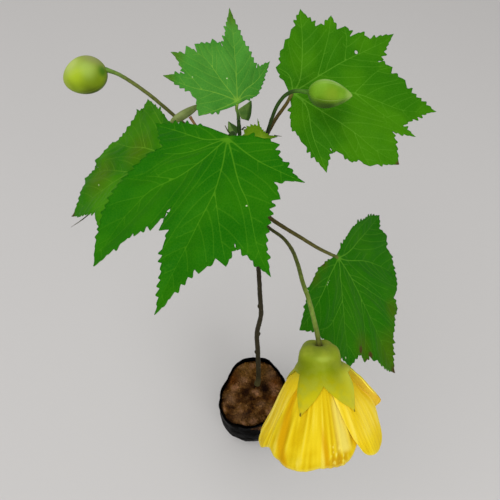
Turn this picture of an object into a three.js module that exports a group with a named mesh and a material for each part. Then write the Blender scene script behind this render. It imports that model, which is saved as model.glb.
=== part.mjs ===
// A young abutilon in a small black nursery bag, with one open yellow bell flower.
// Units are millimetres and +Z is up. The origin is the middle of the bag's flat underside,
// and -Y is the side that the open flower hangs on.
// One leaning stem carries five lobed leaves, one leaf still unfolding, a folded young leaf,
// a flower and two flower buds, each on a stalk of its own.

import * as THREE from 'three';
import { mergeVertices } from 'three/addons/utils/BufferGeometryUtils.js';

// Clearance kept between pieces that touch on the real plant.
const GAP = 0.3;

// Bag and soil.
const BAG_RADIUS = 36;
const BAG_HEIGHT = 72;
const BAG_WALL = 0.8;
// The filled bag's outline: [height, how far it lies inside the bag's radius].
const BAG_OUTLINE = [[0, 9.5], [5, 6.5], [18, 3], [45, 0.5], [BAG_HEIGHT, 0]];
// The blunt corners of the bag: [corners, size, turn in radians].
const BAG_CORNERS = [[2, 0.07, -2.2], [3, 0.048, 1.1], [5, 0.02, 1.4]];
const BAG_CORNERS_START = 2;
const BAG_CORNERS_FULL = 20;
const BAG_SIDES = 40;
const SOIL_LEVEL = 68;
const SOIL_LUMP = 1.4;
const SOIL_SHOULDER = 2.5;
const SOIL_RINGS = [26, 20, 14, 7, 0];
const SOIL_LEVEL_PATCH = 8;

// Stem, from the soil to the shoot tip.
const STEM_FOOT = [4, 10];
const STEM_BASE_RADIUS = 2.4;
const STEM_TIP_RADIUS = 1.0;
const STEM_FLARE = 0.9;
const STEM_FLARE_SHARE = 0.04;
const STEM_SIDES = 10;
const STEM_STEPS = 48;
const STEM_PATH = [
  [...STEM_FOOT, SOIL_LEVEL + GAP],
  [4.9, 10.4, 78],
  [3.7, 12, 138],
  [2.5, 11.4, 174],
  [5.3, 9.4, 211],
  [4.1, 8.6, 238],
  [2.7, 8.8, 269],
  [-1.2, 10.4, 337],
  [-8.8, 10, 390],
  [-9.5, 16, 396],
];
// Old leaf scars: [height, direction in degrees, how far the scar stands out].
const STEM_SCARS = [[138, 180, 0.8], [174, 0, 0.9], [224, 180, 0.8]];
const SCAR_REACH = 5;

// Leaf blades.
const BLADE_THICKNESS = 1.0;
const YOUNG_BLADE_THICKNESS = 0.6;
const NOTCH_RADIUS = 2;
const EDGE_STEP = 6;

// Each leaf: where its stalk meets the blade, the heading, pitch and roll of its midrib in
// degrees, the droop (1 / radius of its bend), and its rim. The rim goes from the left side of
// the stalk round the tip to the right side, valley and lobe tip by turns, as
// [degrees from the midrib, mm from the stalk, outward bow in mm of the edge that follows].
const LEAVES = {
  leaf_front: {
    junction: [-13.4, -18.9, 412.1],
    heading: -115,
    pitch: -13,
    roll: 14,
    droop: 0.0016,
    thickness: BLADE_THICKNESS,
    rim: [
      [109, 9], [98, 17], [91, 26], [85, 25, -1.3], [71, 46, -1.1], [60, 36], [56, 45], [52, 43, -2.3],
      [39, 73], [29, 55], [25, 64], [21, 60], [16, 67], [14, 65], [5, 85, -0.8], [-3, 58], [-4.5, 50],
      [-10, 52], [-13, 40], [-14.5, 54], [-18, 53], [-20, 60], [-21.5, 59], [-23, 66], [-26, 82, 10],
      [-75, 34], [-97, 48], [-104, 25], [-109, 17],
    ],
  },
  leaf_left: {
    junction: [-43.8, -0.2, 385.3],
    heading: -177,
    pitch: -33,
    roll: -12,
    droop: 0.0029,
    thickness: BLADE_THICKNESS,
    rim: [
      [120, 9], [96, 22], [61, 22], [55, 36], [31, 43], [25, 57, 2], [3, 60], [-6, 88, -1.5], [-19, 76],
      [-23, 82], [-27, 68], [-31, 74, -2], [-42, 64, -1.7], [-50, 52, -3], [-65, 59], [-67, 50],
      [-74, 58], [-86, 30], [-90, 25], [-102, 21], [-120, 10],
    ],
  },
  leaf_top: {
    junction: [-10.3, 22.3, 403.2],
    heading: 96,
    pitch: 39,
    roll: 30,
    droop: 0.004,
    thickness: YOUNG_BLADE_THICKNESS,
    rim: [
      [125, 8], [120, 11], [112, 24], [92, 23], [89, 25], [84, 26], [76, 40], [68, 30, -1], [58, 40],
      [52, 34], [45, 36], [41, 30], [38, 34], [22, 31], [18, 33], [10, 28], [-4, 51, -1.6], [-38, 24],
      [-46, 36], [-73, 14], [-79, 6],
    ],
  },
  leaf_right: {
    junction: [19.8, 38.3, 397.1],
    heading: 6,
    pitch: -3,
    roll: 35,
    droop: 0.0022,
    thickness: BLADE_THICKNESS,
    rim: [
      [124, 8], [120, 17], [109, 18], [104, 24], [99, 25], [95, 30], [90, 31], [88, 36], [84, 39],
      [81, 50], [68, 41], [65, 44], [62.5, 44], [61, 52], [53, 46], [50, 51, 1], [43, 48], [41, 53],
      [34, 56], [30, 72], [20, 54], [15, 62], [12, 60], [7, 67], [3, 67, -0.9], [-6, 87, -1.7],
      [-16, 66], [-19, 75], [-21, 60], [-34, 72], [-41, 61], [-44, 59], [-46, 55, -2], [-51, 50],
      [-53, 43], [-58, 36], [-69, 47], [-79, 30], [-84, 27, -0.8], [-98, 19], [-102, 7],
    ],
  },
  leaf_low: {
    junction: [50.5, -11.9, 314.6],
    heading: -47,
    pitch: -45,
    roll: -16,
    droop: 0.0005,
    thickness: BLADE_THICKNESS,
    rim: [
      [117, 7], [107, 25, 1.7], [87, 64], [80, 56], [73, 61], [66, 57, 7], [32, 62], [28, 70],
      [22, 67, -4], [1, 92, 0.9], [-9, 71], [-12, 70], [-14, 65], [-19, 67], [-22, 58], [-33, 66],
      [-66, 50], [-77, 57], [-88, 39], [-94, 34], [-107, 19], [-116, 8],
    ],
  },
  leaf_small: {
    junction: [2.5, 5.8, 392.7],
    heading: 100,
    pitch: 37,
    roll: 0,
    droop: 0.01,
    thickness: YOUNG_BLADE_THICKNESS,
    rim: [
      [120, 5], [89, 9.2], [65, 9.8], [47, 9.4], [38, 8.8], [27, 8], [18, 7], [11, 6.6], [4, 10.2],
      [1, 5.8], [-9, 4.6], [-17, 3.6], [-31, 3.8], [-53, 3.2], [-80, 4.4], [-91, 8.4], [-99, 5.2], [-120, 3],
    ],
  },
};
const BLADE_RINGS = [0.4, 0.75, 1];

// Stalks of the leaves, flower and buds: where each leaves the stem as [height, direction in
// degrees], its way, and its radius at the stem and at its far end. A straight one goes on to its
// leaf as it comes, and the others bend into line with the midrib.
const STALK_SIDES = 8;
const STALK_STEP = 3.5;
const STALK_LAST_STRETCH = 1.5;
const STALKS = {
  stalk_front: {
    root: [352, -100],
    way: [[-7, -4, 366], [-9.5, -10, 390]],
    leaf: 'leaf_front',
    radii: [1.3, 1.0],
  },
  stalk_left: {
    root: [358, 190],
    way: [[-18, 8, 372], [-33, 3.5, 384]],
    leaf: 'leaf_left',
    radii: [1.3, 1.0],
  },
  stalk_right: {
    root: [370, 45],
    way: [[5.6, 19.4, 384.4], [10.6, 25.4, 390.3], [16.2, 31.7, 395.1]],
    leaf: 'leaf_right',
    straight: true,
    radii: [1.2, 0.9],
  },
  stalk_low: {
    root: [342, -50],
    way: [[7.5, -1.9, 341], [16.8, -7.8, 338], [25.6, -11.3, 334], [36.6, -13.9, 327]],
    leaf: 'leaf_low',
    straight: true,
    radii: [1.3, 1.0],
  },
  stalk_top: {
    root: 'tip',
    way: [[-9.9, 18.3, 399.4]],
    leaf: 'leaf_top',
    radii: [0.9, 0.8],
  },
  stalk_folded: {
    root: [375, 150],
    way: [[-16, 12, 380], [-27, 13, 389], [-31.4, 13.6, 394]],
    at: [-34.6, 16.3, 398],
    radii: [0.8, 0.7],
  },
  stalk_small: {
    root: [382, -20],
    way: [[-1, 7, 388]],
    leaf: 'leaf_small',
    radii: [0.5, 0.4],
  },
  flower_stalk: {
    root: [335, -60],
    way: [
      [6.3, -7.1, 339], [14.7, -21.1, 345], [18.8, -32.6, 349], [21, -44.7, 352], [22.5, -57.2, 354],
      [25, -66.5, 352.5],
    ],
    end: 'flower',
    radii: [0.9, 1.2],
  },
  bud_stalk_left: {
    root: [362, 155],
    way: [[-16, 14.5, 373], [-37, 21.5, 387.4], [-57.4, 29, 403.4], [-70.5, 32.8, 411.4]],
    end: 'bud_left',
    radii: [0.9, 1.0],
  },
  bud_stalk_right: {
    root: [364, 30],
    way: [
      [3.4, 13.5, 381], [7.9, 18.7, 395.3], [10.9, 21.9, 401.6], [14.8, 23.9, 405.7],
      [19.4, 24.6, 407.5],
    ],
    end: 'bud_right',
    radii: [0.9, 1.0],
  },
};

// The flower hangs from the top of its calyx: place, heading and tilt from straight down.
const FLOWER = { at: [29.8, -83.9, 339.2], heading: -88, tilt: 41 };
const SEPALS = 5;
const CALYX_RADIUS = 10.6;
const CALYX_WALL = 0.7;
const CALYX_SHOULDER = 8;
const CALYX_SIDES = 72;
// The crown's profile as [radius, depth]: a dimple where the stalk enters, then a rounded rim.
const CALYX_DIMPLE = 1.2;
const CALYX_CROWN = [[3, 0.5], [6, -0.4], [8.6, 0.3], [10.1, 3], [CALYX_RADIUS, CALYX_SHOULDER]];
const CALYX_RIB = 0.4;
const CALYX_RIB_START = 7;
// The edge of the sepals as [direction in degrees, depth], tips and notches by turns.
const SEPAL_EDGE = [
  [-180, 26.5], [-145, 14], [-110, 26.5], [-75, 14], [-45, 26.2], [0, 14.5], [35, 27], [60, 11.5],
  [105, 20], [140, 14], [180, 26.5],
];
const SEPAL_RINGS = [0.3, 0.65, 1];
const PETAL_START = 5;
const PETAL_THICKNESS = 0.6;
const PETAL_OVERLAP_LIFT = 0.8;
const PETAL_LIFTED_BY = 0.3;
const PETAL_FLARE_START = 0.5;
const PETAL_FLARE_FULL = 0.9;
const PETAL_COLUMNS = 12;
const PETAL_ROWS = 9;
// Half-widths in degrees at even steps from base to end, and the depth of the end at even steps
// from the right edge to the left edge, of a petal that nothing draws in.
const PETAL_WIDTHS = [16, 34, 45, 47, 47, 46, 42];
const PETAL_END = [40, 44.5, 47, 48.5, 49, 48.5, 47, 44.5, 40];
// Each petal: the direction of its middle in degrees, its half-widths to the left and right, its
// end, and how far its left and right edges stand off the bell in mm.
const PETALS = {
  petal_1: {
    middle: 8,
    left: [16, 34, 47, 54, 58, 59, 58],
    right: [16, 34, 45, 47, 47, 46, 45],
    end: [40.5, 44.6, 46.9, 47.4, 47.4, 49.4, 49.7, 47.9, 45],
    flare: [0, 0],
  },
  petal_2: {
    middle: 80,
    left: PETAL_WIDTHS,
    right: [16, 34, 45, 45, 40, 36, 34],
    end: [43, 43.5, 45, 47, 49.6, 50, 49, 47, 42],
    flare: [0, 0],
  },
  petal_3: { middle: 152, left: PETAL_WIDTHS, right: PETAL_WIDTHS, end: PETAL_END, flare: [0, 0] },
  petal_4: {
    middle: 224,
    left: [16, 34, 46, 50, 50, 45, 34],
    right: PETAL_WIDTHS,
    end: [40, 44.5, 47, 48.5, 48.5, 47.5, 45, 41.5, 36],
    flare: [8, 0],
  },
  petal_5: {
    middle: 296,
    left: [16, 42, 47, 41, 35, 28, 19],
    right: [16, 34, 40, 40, 40, 40, 38],
    end: [41, 44.5, 47, 48.3, 48.6, 48.2, 47.4, 46.3, 45],
    flare: [0, 3.5],
  },
};
// The bell's radius at set distances down its axis. It is a little wider than it is deep.
const BELL_DEPTHS = [0, 8, 12, 17, 22, 28, 38, 48, 56];
const BELL_RADII = [5.5, 8.4, 10.8, 13.8, 16.4, 19.4, 24.2, 28, 29];
const BELL_FLATTEN = 0.05;
const COLUMN_START = 2.2;
const COLUMN_LENGTH = 40;
const COLUMN_RADIUS = 1.6;
const COLUMN_FOOT = 1;
const COLUMN_FOOT_LENGTH = 6;
const COLUMN_SIDES = 12;
const ANTHER_HEAD_RADIUS = 4.5;
const ANTHER_HEAD_STEPS = 6;

// Closed flower buds and a leaf that is still rolled up: base, tip and widest radius.
const BUDS = {
  bud_left: { base: [-77.6, 35.3, 413.2], tip: [-99.4, 30.6, 408.4], radius: 9.7, point: 0.1 },
  bud_right: { base: [26, 24.2, 407.2], tip: [48.6, 23.5, 405.4], radius: 7.9, point: 0.28 },
  folded_leaf: { base: [-44.7, 13.4, 396.2], tip: [-27.8, 21.5, 402.5], radius: 2.4, point: 0.35 },
};
const BUD_RINGS = 10;
const BUD_POINT_RADIUS = 0.3;
const BUD_SIDES = 20;
const SMALL_BUD_RADIUS = 5;
const SMALL_BUD_SIDES = 10;

// The folded leaves of the shoot tip: base, tip, and half-widths to the left and right in mm at
// even steps from base to tip. They face up and forward, and the right half is folded back.
const TIP_LEAVES = {
  tip_bud: {
    base: [-5.5, 13.5, 398],
    tip: [-3, 21.1, 404.1],
    left: [2.6, 4.4, 5.2, 3.7, 1.9, 0.3],
    right: [1.2, 1.6, 1.6, 1.3, 0.9, 0.2],
  },
  side_bud: {
    base: [-10.9, 9.3, 391.1],
    tip: [-14.5, 12.6, 397.7],
    left: [0.4, 1.6, 2.2, 2.1, 1.2, 0.3],
    right: [0.3, 2, 2.8, 2.2, 1.1, 0.2],
  },
};
const TIP_LEAF_FACES = [0, -0.62, 0.79];
const TIP_LEAF_THICKNESS = 0.8;
const TIP_LEAF_FOLD = 0.5;
const TIP_LEAF_COLUMNS = 6;
const TIP_LEAF_ROWS = 10;

// Colours of the live plant.
const LEAF_GREEN = 0x2f7a1c;
const YOUNG_GREEN = 0x4f9a3a;
const STALK_BROWN = 0x4a4a22;
const STEM_BROWN = 0x3a331c;
const CALYX_GREEN = 0xa8b32e;
const BUD_GREEN = 0x93ad2c;
const PETAL_YELLOW = 0xf0cc14;
const BAG_BLACK = 0x14110f;
const SOIL_BROWN = 0x4a3524;

const radians = THREE.MathUtils.degToRad;

function material(colour, roughness) {
  return new THREE.MeshStandardMaterial({ color: colour, roughness, metalness: 0 });
}

// Drops the seams of a three.js shape, so that neighbouring faces share their vertices.
function sealed(geometry) {
  geometry.deleteAttribute('normal');
  geometry.deleteAttribute('uv');
  return mergeVertices(geometry, 1e-4);
}

// Moves every vertex of a sealed shape by one rule.
function reshape(geometry, rule) {
  const places = geometry.attributes.position;
  const point = new THREE.Vector3();
  for (let i = 0; i < places.count; i += 1) {
    point.fromBufferAttribute(places, i);
    rule(point);
    places.setXYZ(i, point.x, point.y, point.z);
  }
  geometry.computeVertexNormals();
  return geometry;
}

// Turns a profile of [radius, height] pairs about the Z axis, from axis to axis.
function turned(profile, segments) {
  const points = profile.map(([radius, height]) => new THREE.Vector2(radius, height));
  const geometry = sealed(new THREE.LatheGeometry(points, segments));
  return geometry.rotateX(Math.PI / 2);
}

// A smooth curve through a way of points.
function curveThrough(way) {
  return new THREE.CatmullRomCurve3(way.map((place) => new THREE.Vector3(...place)));
}

// A round limb along a way of points, whose radius follows a rule of the fraction of its length.
function limb(way, radiusAt, sides, steps) {
  const curve = curveThrough(way);
  const frames = curve.computeFrenetFrames(steps, false);
  const geometry = sealed(new THREE.CylinderGeometry(1, 1, 1, sides, steps));
  return reshape(geometry, (point) => {
    const fraction = THREE.MathUtils.clamp(point.y + 0.5, 0, 1);
    const step = Math.round(fraction * steps);
    const across = Math.hypot(point.x, point.z);
    const angle = Math.atan2(point.z, point.x);
    const radius = across * radiusAt(fraction);
    point.copy(curve.getPointAt(step / steps));
    point.addScaledVector(frames.normals[step], radius * Math.cos(angle));
    point.addScaledVector(frames.binormals[step], -radius * Math.sin(angle));
  });
}

// A value read off a table by straight lines between its entries.
function interpolate(xs, ys, x) {
  for (let i = 1; i < xs.length; i += 1) {
    if (x <= xs[i]) {
      const share = (x - xs[i - 1]) / (xs[i] - xs[i - 1]);
      return THREE.MathUtils.lerp(ys[i - 1], ys[i], Math.max(share, 0));
    }
  }
  return ys[ys.length - 1];
}

// The bag isn't quite round: above its foot it is pulled into slight corners as it is filled.
function pullCorners(point) {
  const angle = Math.atan2(point.y, point.x);
  const swell = THREE.MathUtils.smoothstep(point.z, BAG_CORNERS_START, BAG_CORNERS_FULL);
  let scale = 1;
  for (const [corners, size, turn] of BAG_CORNERS) {
    scale += swell * size * Math.cos(corners * angle + turn);
  }
  point.x *= scale;
  point.y *= scale;
}

// The bag's outline moved inward and up, as [radius, height] pairs.
function bagOutline(inward, up) {
  return BAG_OUTLINE.map(([height, inset]) => [BAG_RADIUS - inset - inward, height + up]);
}

function bag() {
  const inner = bagOutline(BAG_WALL, BAG_WALL);
  inner.pop();
  inner.push([BAG_RADIUS - BAG_WALL, BAG_HEIGHT]);
  const profile = [[0, 0], ...bagOutline(0, 0), ...inner.reverse(), [0, BAG_WALL]];
  return reshape(turned(profile, BAG_SIDES), pullCorners);
}

// How high the soil stands above its level: small lumps that fade out where the stem stands.
function soilLump(x, y) {
  const lump = Math.sin(x * 0.31 + 1) * Math.cos(y * 0.27) - 0.5 * Math.sin(y * 0.5) - 0.6;
  const away = Math.hypot(x - STEM_FOOT[0], y - STEM_FOOT[1]);
  return SOIL_LUMP * lump * THREE.MathUtils.smoothstep(away, SOIL_LEVEL_PATCH, 2 * SOIL_LEVEL_PATCH);
}

function soil() {
  const inward = BAG_WALL + 2 * GAP;
  const bottom = BAG_WALL + GAP;
  const side = bagOutline(inward, bottom);
  side.pop();
  const edge = BAG_RADIUS - inward;
  const top = SOIL_RINGS.map((radius) => [radius, SOIL_LEVEL]);
  const profile = [
    [0, bottom], ...side, [edge, SOIL_LEVEL - SOIL_SHOULDER], [edge - SOIL_SHOULDER, SOIL_LEVEL], ...top,
  ];
  return reshape(turned(profile, BAG_SIDES), (point) => {
    const onTop = point.z > SOIL_LEVEL - GAP;
    pullCorners(point);
    if (onTop) {
      point.z += soilLump(point.x, point.y);
    }
  });
}

const stemCurve = curveThrough(STEM_PATH);

function stemRadius(fraction) {
  const flare = STEM_FLARE * Math.max(0, 1 - fraction / STEM_FLARE_SHARE);
  return THREE.MathUtils.lerp(STEM_BASE_RADIUS, STEM_TIP_RADIUS, fraction ** 1.2) + flare;
}

// The fraction of the stem's length at a height.
function stemFraction(height) {
  let low = 0;
  let high = 1;
  while (high - low > 1e-4) {
    const middle = (low + high) / 2;
    if (stemCurve.getPointAt(middle).z < height) {
      low = middle;
    } else {
      high = middle;
    }
  }
  return low;
}

// The stem stands on a flat cut at the soil, and its old leaf scars stand out as low bumps.
function stem() {
  const foot = SOIL_LEVEL + GAP;
  return reshape(limb(STEM_PATH, stemRadius, STEM_SIDES, STEM_STEPS), (point) => {
    if (point.z < foot + 1) {
      point.z = foot;
    }
    for (const [height, direction, size] of STEM_SCARS) {
      const centre = stemCurve.getPointAt(stemFraction(height));
      const reach = Math.max(0, 1 - Math.abs(point.z - height) / SCAR_REACH);
      const facing = Math.cos(Math.atan2(point.y - centre.y, point.x - centre.x) - radians(direction));
      const push = size * reach * Math.max(0, facing);
      point.x += push * Math.cos(radians(direction));
      point.y += push * Math.sin(radians(direction));
    }
  });
}

// The start of a stalk: straight out of the stem's side and clear of it, or on from its tip.
function stalkRoot(root, radius) {
  if (root === 'tip') {
    const onward = stemCurve.getTangentAt(1);
    const tip = stemCurve.getPointAt(1);
    return [tip.clone().addScaledVector(onward, GAP).toArray()];
  }
  const [height, direction] = root;
  const fraction = stemFraction(height);
  const centre = stemCurve.getPointAt(fraction);
  const out = new THREE.Vector3(Math.cos(radians(direction)), Math.sin(radians(direction)), 0);
  const along = stemCurve.getTangentAt(fraction);
  out.addScaledVector(along, -out.dot(along)).normalize();
  const start = centre.clone().addScaledVector(out, stemRadius(fraction) + GAP);
  const next = start.clone().addScaledVector(out, radius);
  return [start.toArray(), next.toArray()];
}

// The frame of a leaf: its place, with X down the midrib and Z out of the upper face.
function leafFrame(leaf) {
  const holder = new THREE.Object3D();
  holder.position.set(...leaf.junction);
  holder.rotation.set(radians(leaf.roll), radians(-leaf.pitch), radians(leaf.heading), 'ZYX');
  holder.updateMatrixWorld();
  return holder;
}

// Where a stalk ends: in the notch of its leaf, at a stated place, or at its bud or flower.
function stalkEnd(stalk) {
  if (stalk.at) {
    return [stalk.at];
  }
  if (stalk.leaf) {
    const holder = leafFrame(LEAVES[stalk.leaf]);
    const reach = NOTCH_RADIUS + GAP + 0.6 * stalk.radii[1];
    const before = holder.localToWorld(new THREE.Vector3(-reach - STALK_LAST_STRETCH, 0, -1));
    const last = holder.localToWorld(new THREE.Vector3(-reach, 0, 0));
    return stalk.straight ? [last.toArray()] : [before.toArray(), last.toArray()];
  }
  if (stalk.end === 'flower') {
    const holder = flowerFrame();
    const last = CALYX_DIMPLE - GAP - 0.5;
    const depths = [last - STALK_LAST_STRETCH, last];
    return depths.map((depth) => holder.localToWorld(new THREE.Vector3(0, 0, depth)).toArray());
  }
  const bud = BUDS[stalk.end];
  const base = new THREE.Vector3(...bud.base);
  const along = new THREE.Vector3(...bud.tip).sub(base).normalize();
  return [base.addScaledVector(along, -2 * GAP).toArray()];
}

function stalkShape(stalk) {
  const [near, far] = stalk.radii;
  const way = [...stalkRoot(stalk.root, near), ...stalk.way, ...stalkEnd(stalk)];
  const steps = Math.round(curveThrough(way).getLength() / STALK_STEP);
  return limb(way, (fraction) => THREE.MathUtils.lerp(near, far, fraction), STALK_SIDES, steps);
}

// The rim of a blade as points of [angle, radius], with bowed edges cut into short lengths.
function rimPoints(rim) {
  const corners = [[180, NOTCH_RADIUS], ...rim];
  const flat = corners.map(([degrees, radius]) => {
    const angle = radians(degrees);
    return new THREE.Vector2(radius * Math.cos(angle), radius * Math.sin(angle));
  });
  const points = [];
  flat.forEach((from, i) => {
    const to = flat[(i + 1) % flat.length];
    const bow = corners[i][2] ?? 0;
    const length = from.distanceTo(to);
    const parts = Math.max(1, Math.round(length / EDGE_STEP));
    const outward = new THREE.Vector2(-(to.y - from.y), to.x - from.x).divideScalar(length);
    for (let part = 0; part < parts; part += 1) {
      const share = part / parts;
      const point = from.clone().lerp(to, share);
      point.addScaledVector(outward, 4 * bow * share * (1 - share));
      points.push([Math.atan2(point.y, point.x), point.length()]);
    }
  });
  return points.reverse();
}

// A thin turned disc, drawn out to the rim's outline and bent down away from the stalk.
function blade(leaf) {
  const rim = rimPoints(leaf.rim);
  const half = leaf.thickness / 2;
  const upper = BLADE_RINGS.map((share) => [share, half]);
  const lower = BLADE_RINGS.map((share) => [share, -half]);
  const geometry = turned([[0, -half], ...lower, ...upper.reverse(), [0, half]], rim.length);
  return reshape(geometry, (point) => {
    const share = Math.hypot(point.x, point.y);
    const turnPart = (Math.atan2(point.y, point.x) / (2 * Math.PI)) * rim.length;
    const index = ((Math.round(turnPart) % rim.length) + rim.length) % rim.length;
    const [angle, reach] = rim[index];
    const along = share * reach;
    const bend = leaf.droop * along;
    const level = point.z;
    const radius = (1 / leaf.droop + level) * Math.sin(bend);
    point.set(radius * Math.cos(angle), radius * Math.sin(angle), 0);
    point.z = (1 / leaf.droop + level) * Math.cos(bend) - 1 / leaf.droop;
  });
}

// The frame of the flower: its Z runs down the bell's axis and its X faces up and forward.
function flowerFrame() {
  const holder = new THREE.Object3D();
  const heading = radians(FLOWER.heading);
  const tilt = radians(FLOWER.tilt);
  const axis = new THREE.Vector3(
    Math.sin(tilt) * Math.cos(heading),
    Math.sin(tilt) * Math.sin(heading),
    -Math.cos(tilt),
  );
  const front = new THREE.Vector3(
    Math.cos(tilt) * Math.cos(heading),
    Math.cos(tilt) * Math.sin(heading),
    Math.sin(tilt),
  );
  const side = axis.clone().cross(front);
  holder.matrix.makeBasis(front, side, axis);
  holder.quaternion.setFromRotationMatrix(holder.matrix);
  holder.position.set(...FLOWER.at);
  holder.updateMatrixWorld();
  return holder;
}

function bellRadius(depth, angle) {
  return interpolate(BELL_DEPTHS, BELL_RADII, depth) * (1 - BELL_FLATTEN * Math.cos(2 * angle));
}

// The calyx: a five-ribbed crown, sunk where the stalk enters, with a skirt of five pointed sepals.
function calyx() {
  const clear = PETAL_THICKNESS / 2 + PETAL_OVERLAP_LIFT + GAP;
  const edgeDirections = SEPAL_EDGE.map(([direction]) => direction);
  const edgeDepths = SEPAL_EDGE.map(([, depth]) => depth);
  const skirt = SEPAL_RINGS.map((share) => [CALYX_RADIUS, CALYX_SHOULDER + share]);
  const outer = [...CALYX_CROWN, ...skirt];
  const inner = outer.map(([radius, depth]) => [radius - CALYX_WALL, depth]).slice(3).reverse();
  const roof = [[CALYX_CROWN[2][0] - CALYX_WALL, CALYX_DIMPLE], [CALYX_CROWN[0][0] + 1, CALYX_DIMPLE + 0.4]];
  const profile = [[0, CALYX_DIMPLE], ...outer, ...inner, ...roof, [0, CALYX_DIMPLE + CALYX_WALL]];
  return reshape(turned(profile, CALYX_SIDES), (point) => {
    const angle = Math.atan2(point.y, point.x);
    const share = point.z - CALYX_SHOULDER;
    let radius = Math.hypot(point.x, point.y);
    if (share > 0.01) {
      const reach = interpolate(edgeDirections, edgeDepths, THREE.MathUtils.radToDeg(angle));
      const depth = THREE.MathUtils.lerp(CALYX_SHOULDER, reach, share);
      radius += bellRadius(depth, angle) + clear + CALYX_WALL - CALYX_RADIUS;
      point.z = depth;
    } else if (radius > CALYX_RIB_START) {
      radius += CALYX_RIB * Math.cos(SEPALS * angle);
    }
    point.x = radius * Math.cos(angle);
    point.y = radius * Math.sin(angle);
  });
}

// A table at even steps from 0 to 1, read off by straight lines.
function evenly(table, share) {
  const steps = table.map((_, i) => i / (table.length - 1));
  return interpolate(steps, table, share);
}

// One petal: a blade on the bell whose left edge lies over the next petal.
function petal(shape) {
  const geometry = sealed(new THREE.BoxGeometry(1, 1, 1, PETAL_COLUMNS, PETAL_ROWS, 1));
  return reshape(geometry, (point) => {
    const across = 2 * point.x;
    const share = point.y + 0.5;
    const width = evenly(across > 0 ? shape.left : shape.right, share);
    const angle = radians(shape.middle + across * width);
    const depth = THREE.MathUtils.lerp(PETAL_START, evenly(shape.end, point.x + 0.5), share);
    const [left, right] = shape.flare;
    const flared = THREE.MathUtils.smoothstep(share, PETAL_FLARE_START, PETAL_FLARE_FULL);
    const standOff = (across > 0 ? left : right) * across ** 2 * flared;
    const lift = PETAL_OVERLAP_LIFT * across * THREE.MathUtils.smoothstep(share, 0, PETAL_LIFTED_BY);
    const radius = bellRadius(depth, angle) + lift + standOff + point.z * PETAL_THICKNESS;
    point.set(radius * Math.cos(angle), radius * Math.sin(angle), depth);
  });
}

// The stamen column inside the bell, with its rounded head of anthers.
function column() {
  const head = COLUMN_LENGTH - ANTHER_HEAD_RADIUS;
  const profile = [
    [0, COLUMN_START], [COLUMN_RADIUS + COLUMN_FOOT, COLUMN_START + GAP],
    [COLUMN_RADIUS, COLUMN_START + COLUMN_FOOT_LENGTH], [COLUMN_RADIUS, head - 0.8 * ANTHER_HEAD_RADIUS],
  ];
  for (let step = 1; step < ANTHER_HEAD_STEPS; step += 1) {
    const angle = (step / ANTHER_HEAD_STEPS) * Math.PI;
    profile.push([ANTHER_HEAD_RADIUS * Math.sin(angle), head - ANTHER_HEAD_RADIUS * Math.cos(angle)]);
  }
  profile.push([0, COLUMN_LENGTH]);
  return turned(profile, COLUMN_SIDES);
}

// A bud: a turned body whose widest place lies nearer its base, with a drawn-out point.
function budShape(bud) {
  const length = new THREE.Vector3(...bud.base).distanceTo(new THREE.Vector3(...bud.tip));
  const profile = [[0, 0]];
  for (let ring = 1; ring < BUD_RINGS; ring += 1) {
    const share = ring / BUD_RINGS;
    const round = Math.sqrt(1 - (2 * share - 1) ** 2);
    const drawn = round * (1 - 2 * bud.point * share ** 2);
    profile.push([Math.max(BUD_POINT_RADIUS, bud.radius * drawn), share * length]);
  }
  profile.push([0, length]);
  return turned(profile, bud.radius > SMALL_BUD_RADIUS ? BUD_SIDES : SMALL_BUD_SIDES);
}

// A leaf folded along its midrib, with its right half bent back.
function tipLeaf(leaf) {
  const base = new THREE.Vector3(...leaf.base);
  const run = new THREE.Vector3(...leaf.tip).sub(base);
  const along = run.clone().normalize();
  const up = new THREE.Vector3(...TIP_LEAF_FACES);
  up.addScaledVector(along, -up.dot(along)).normalize();
  const side = up.clone().cross(along);
  const geometry = sealed(new THREE.BoxGeometry(1, 1, 1, TIP_LEAF_COLUMNS, TIP_LEAF_ROWS, 1));
  return reshape(geometry, (point) => {
    const across = -2 * point.x;
    const share = point.y + 0.5;
    const reach = across * evenly(across > 0 ? leaf.left : leaf.right, share);
    const level = point.z * TIP_LEAF_THICKNESS + TIP_LEAF_FOLD * Math.min(0, reach);
    point.copy(base).addScaledVector(run, share).addScaledVector(side, reach).addScaledVector(up, level);
  });
}

function namedMesh(name, geometry, colour, roughness) {
  const mesh = new THREE.Mesh(geometry, material(colour, roughness));
  mesh.name = name;
  return mesh;
}

const plant = new THREE.Group();

plant.add(namedMesh('bag', bag(), BAG_BLACK, 0.45));
plant.add(namedMesh('soil', soil(), SOIL_BROWN, 0.95));
plant.add(namedMesh('stem', stem(), STEM_BROWN, 0.7));

for (const [name, leaf] of Object.entries(LEAVES)) {
  const young = leaf.thickness === YOUNG_BLADE_THICKNESS;
  const mesh = namedMesh(name, blade(leaf), young ? YOUNG_GREEN : LEAF_GREEN, 0.55);
  const holder = leafFrame(leaf);
  mesh.position.copy(holder.position);
  mesh.quaternion.copy(holder.quaternion);
  plant.add(mesh);
}

for (const [name, stalk] of Object.entries(STALKS)) {
  plant.add(namedMesh(name, stalkShape(stalk), STALK_BROWN, 0.6));
}

for (const [name, bud] of Object.entries(BUDS)) {
  const mesh = namedMesh(name, budShape(bud), BUD_GREEN, 0.5);
  const along = new THREE.Vector3(...bud.tip).sub(new THREE.Vector3(...bud.base)).normalize();
  mesh.position.set(...bud.base);
  mesh.quaternion.setFromUnitVectors(new THREE.Vector3(0, 0, 1), along);
  plant.add(mesh);
}

for (const [name, leaf] of Object.entries(TIP_LEAVES)) {
  plant.add(namedMesh(name, tipLeaf(leaf), YOUNG_GREEN, 0.5));
}

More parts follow.
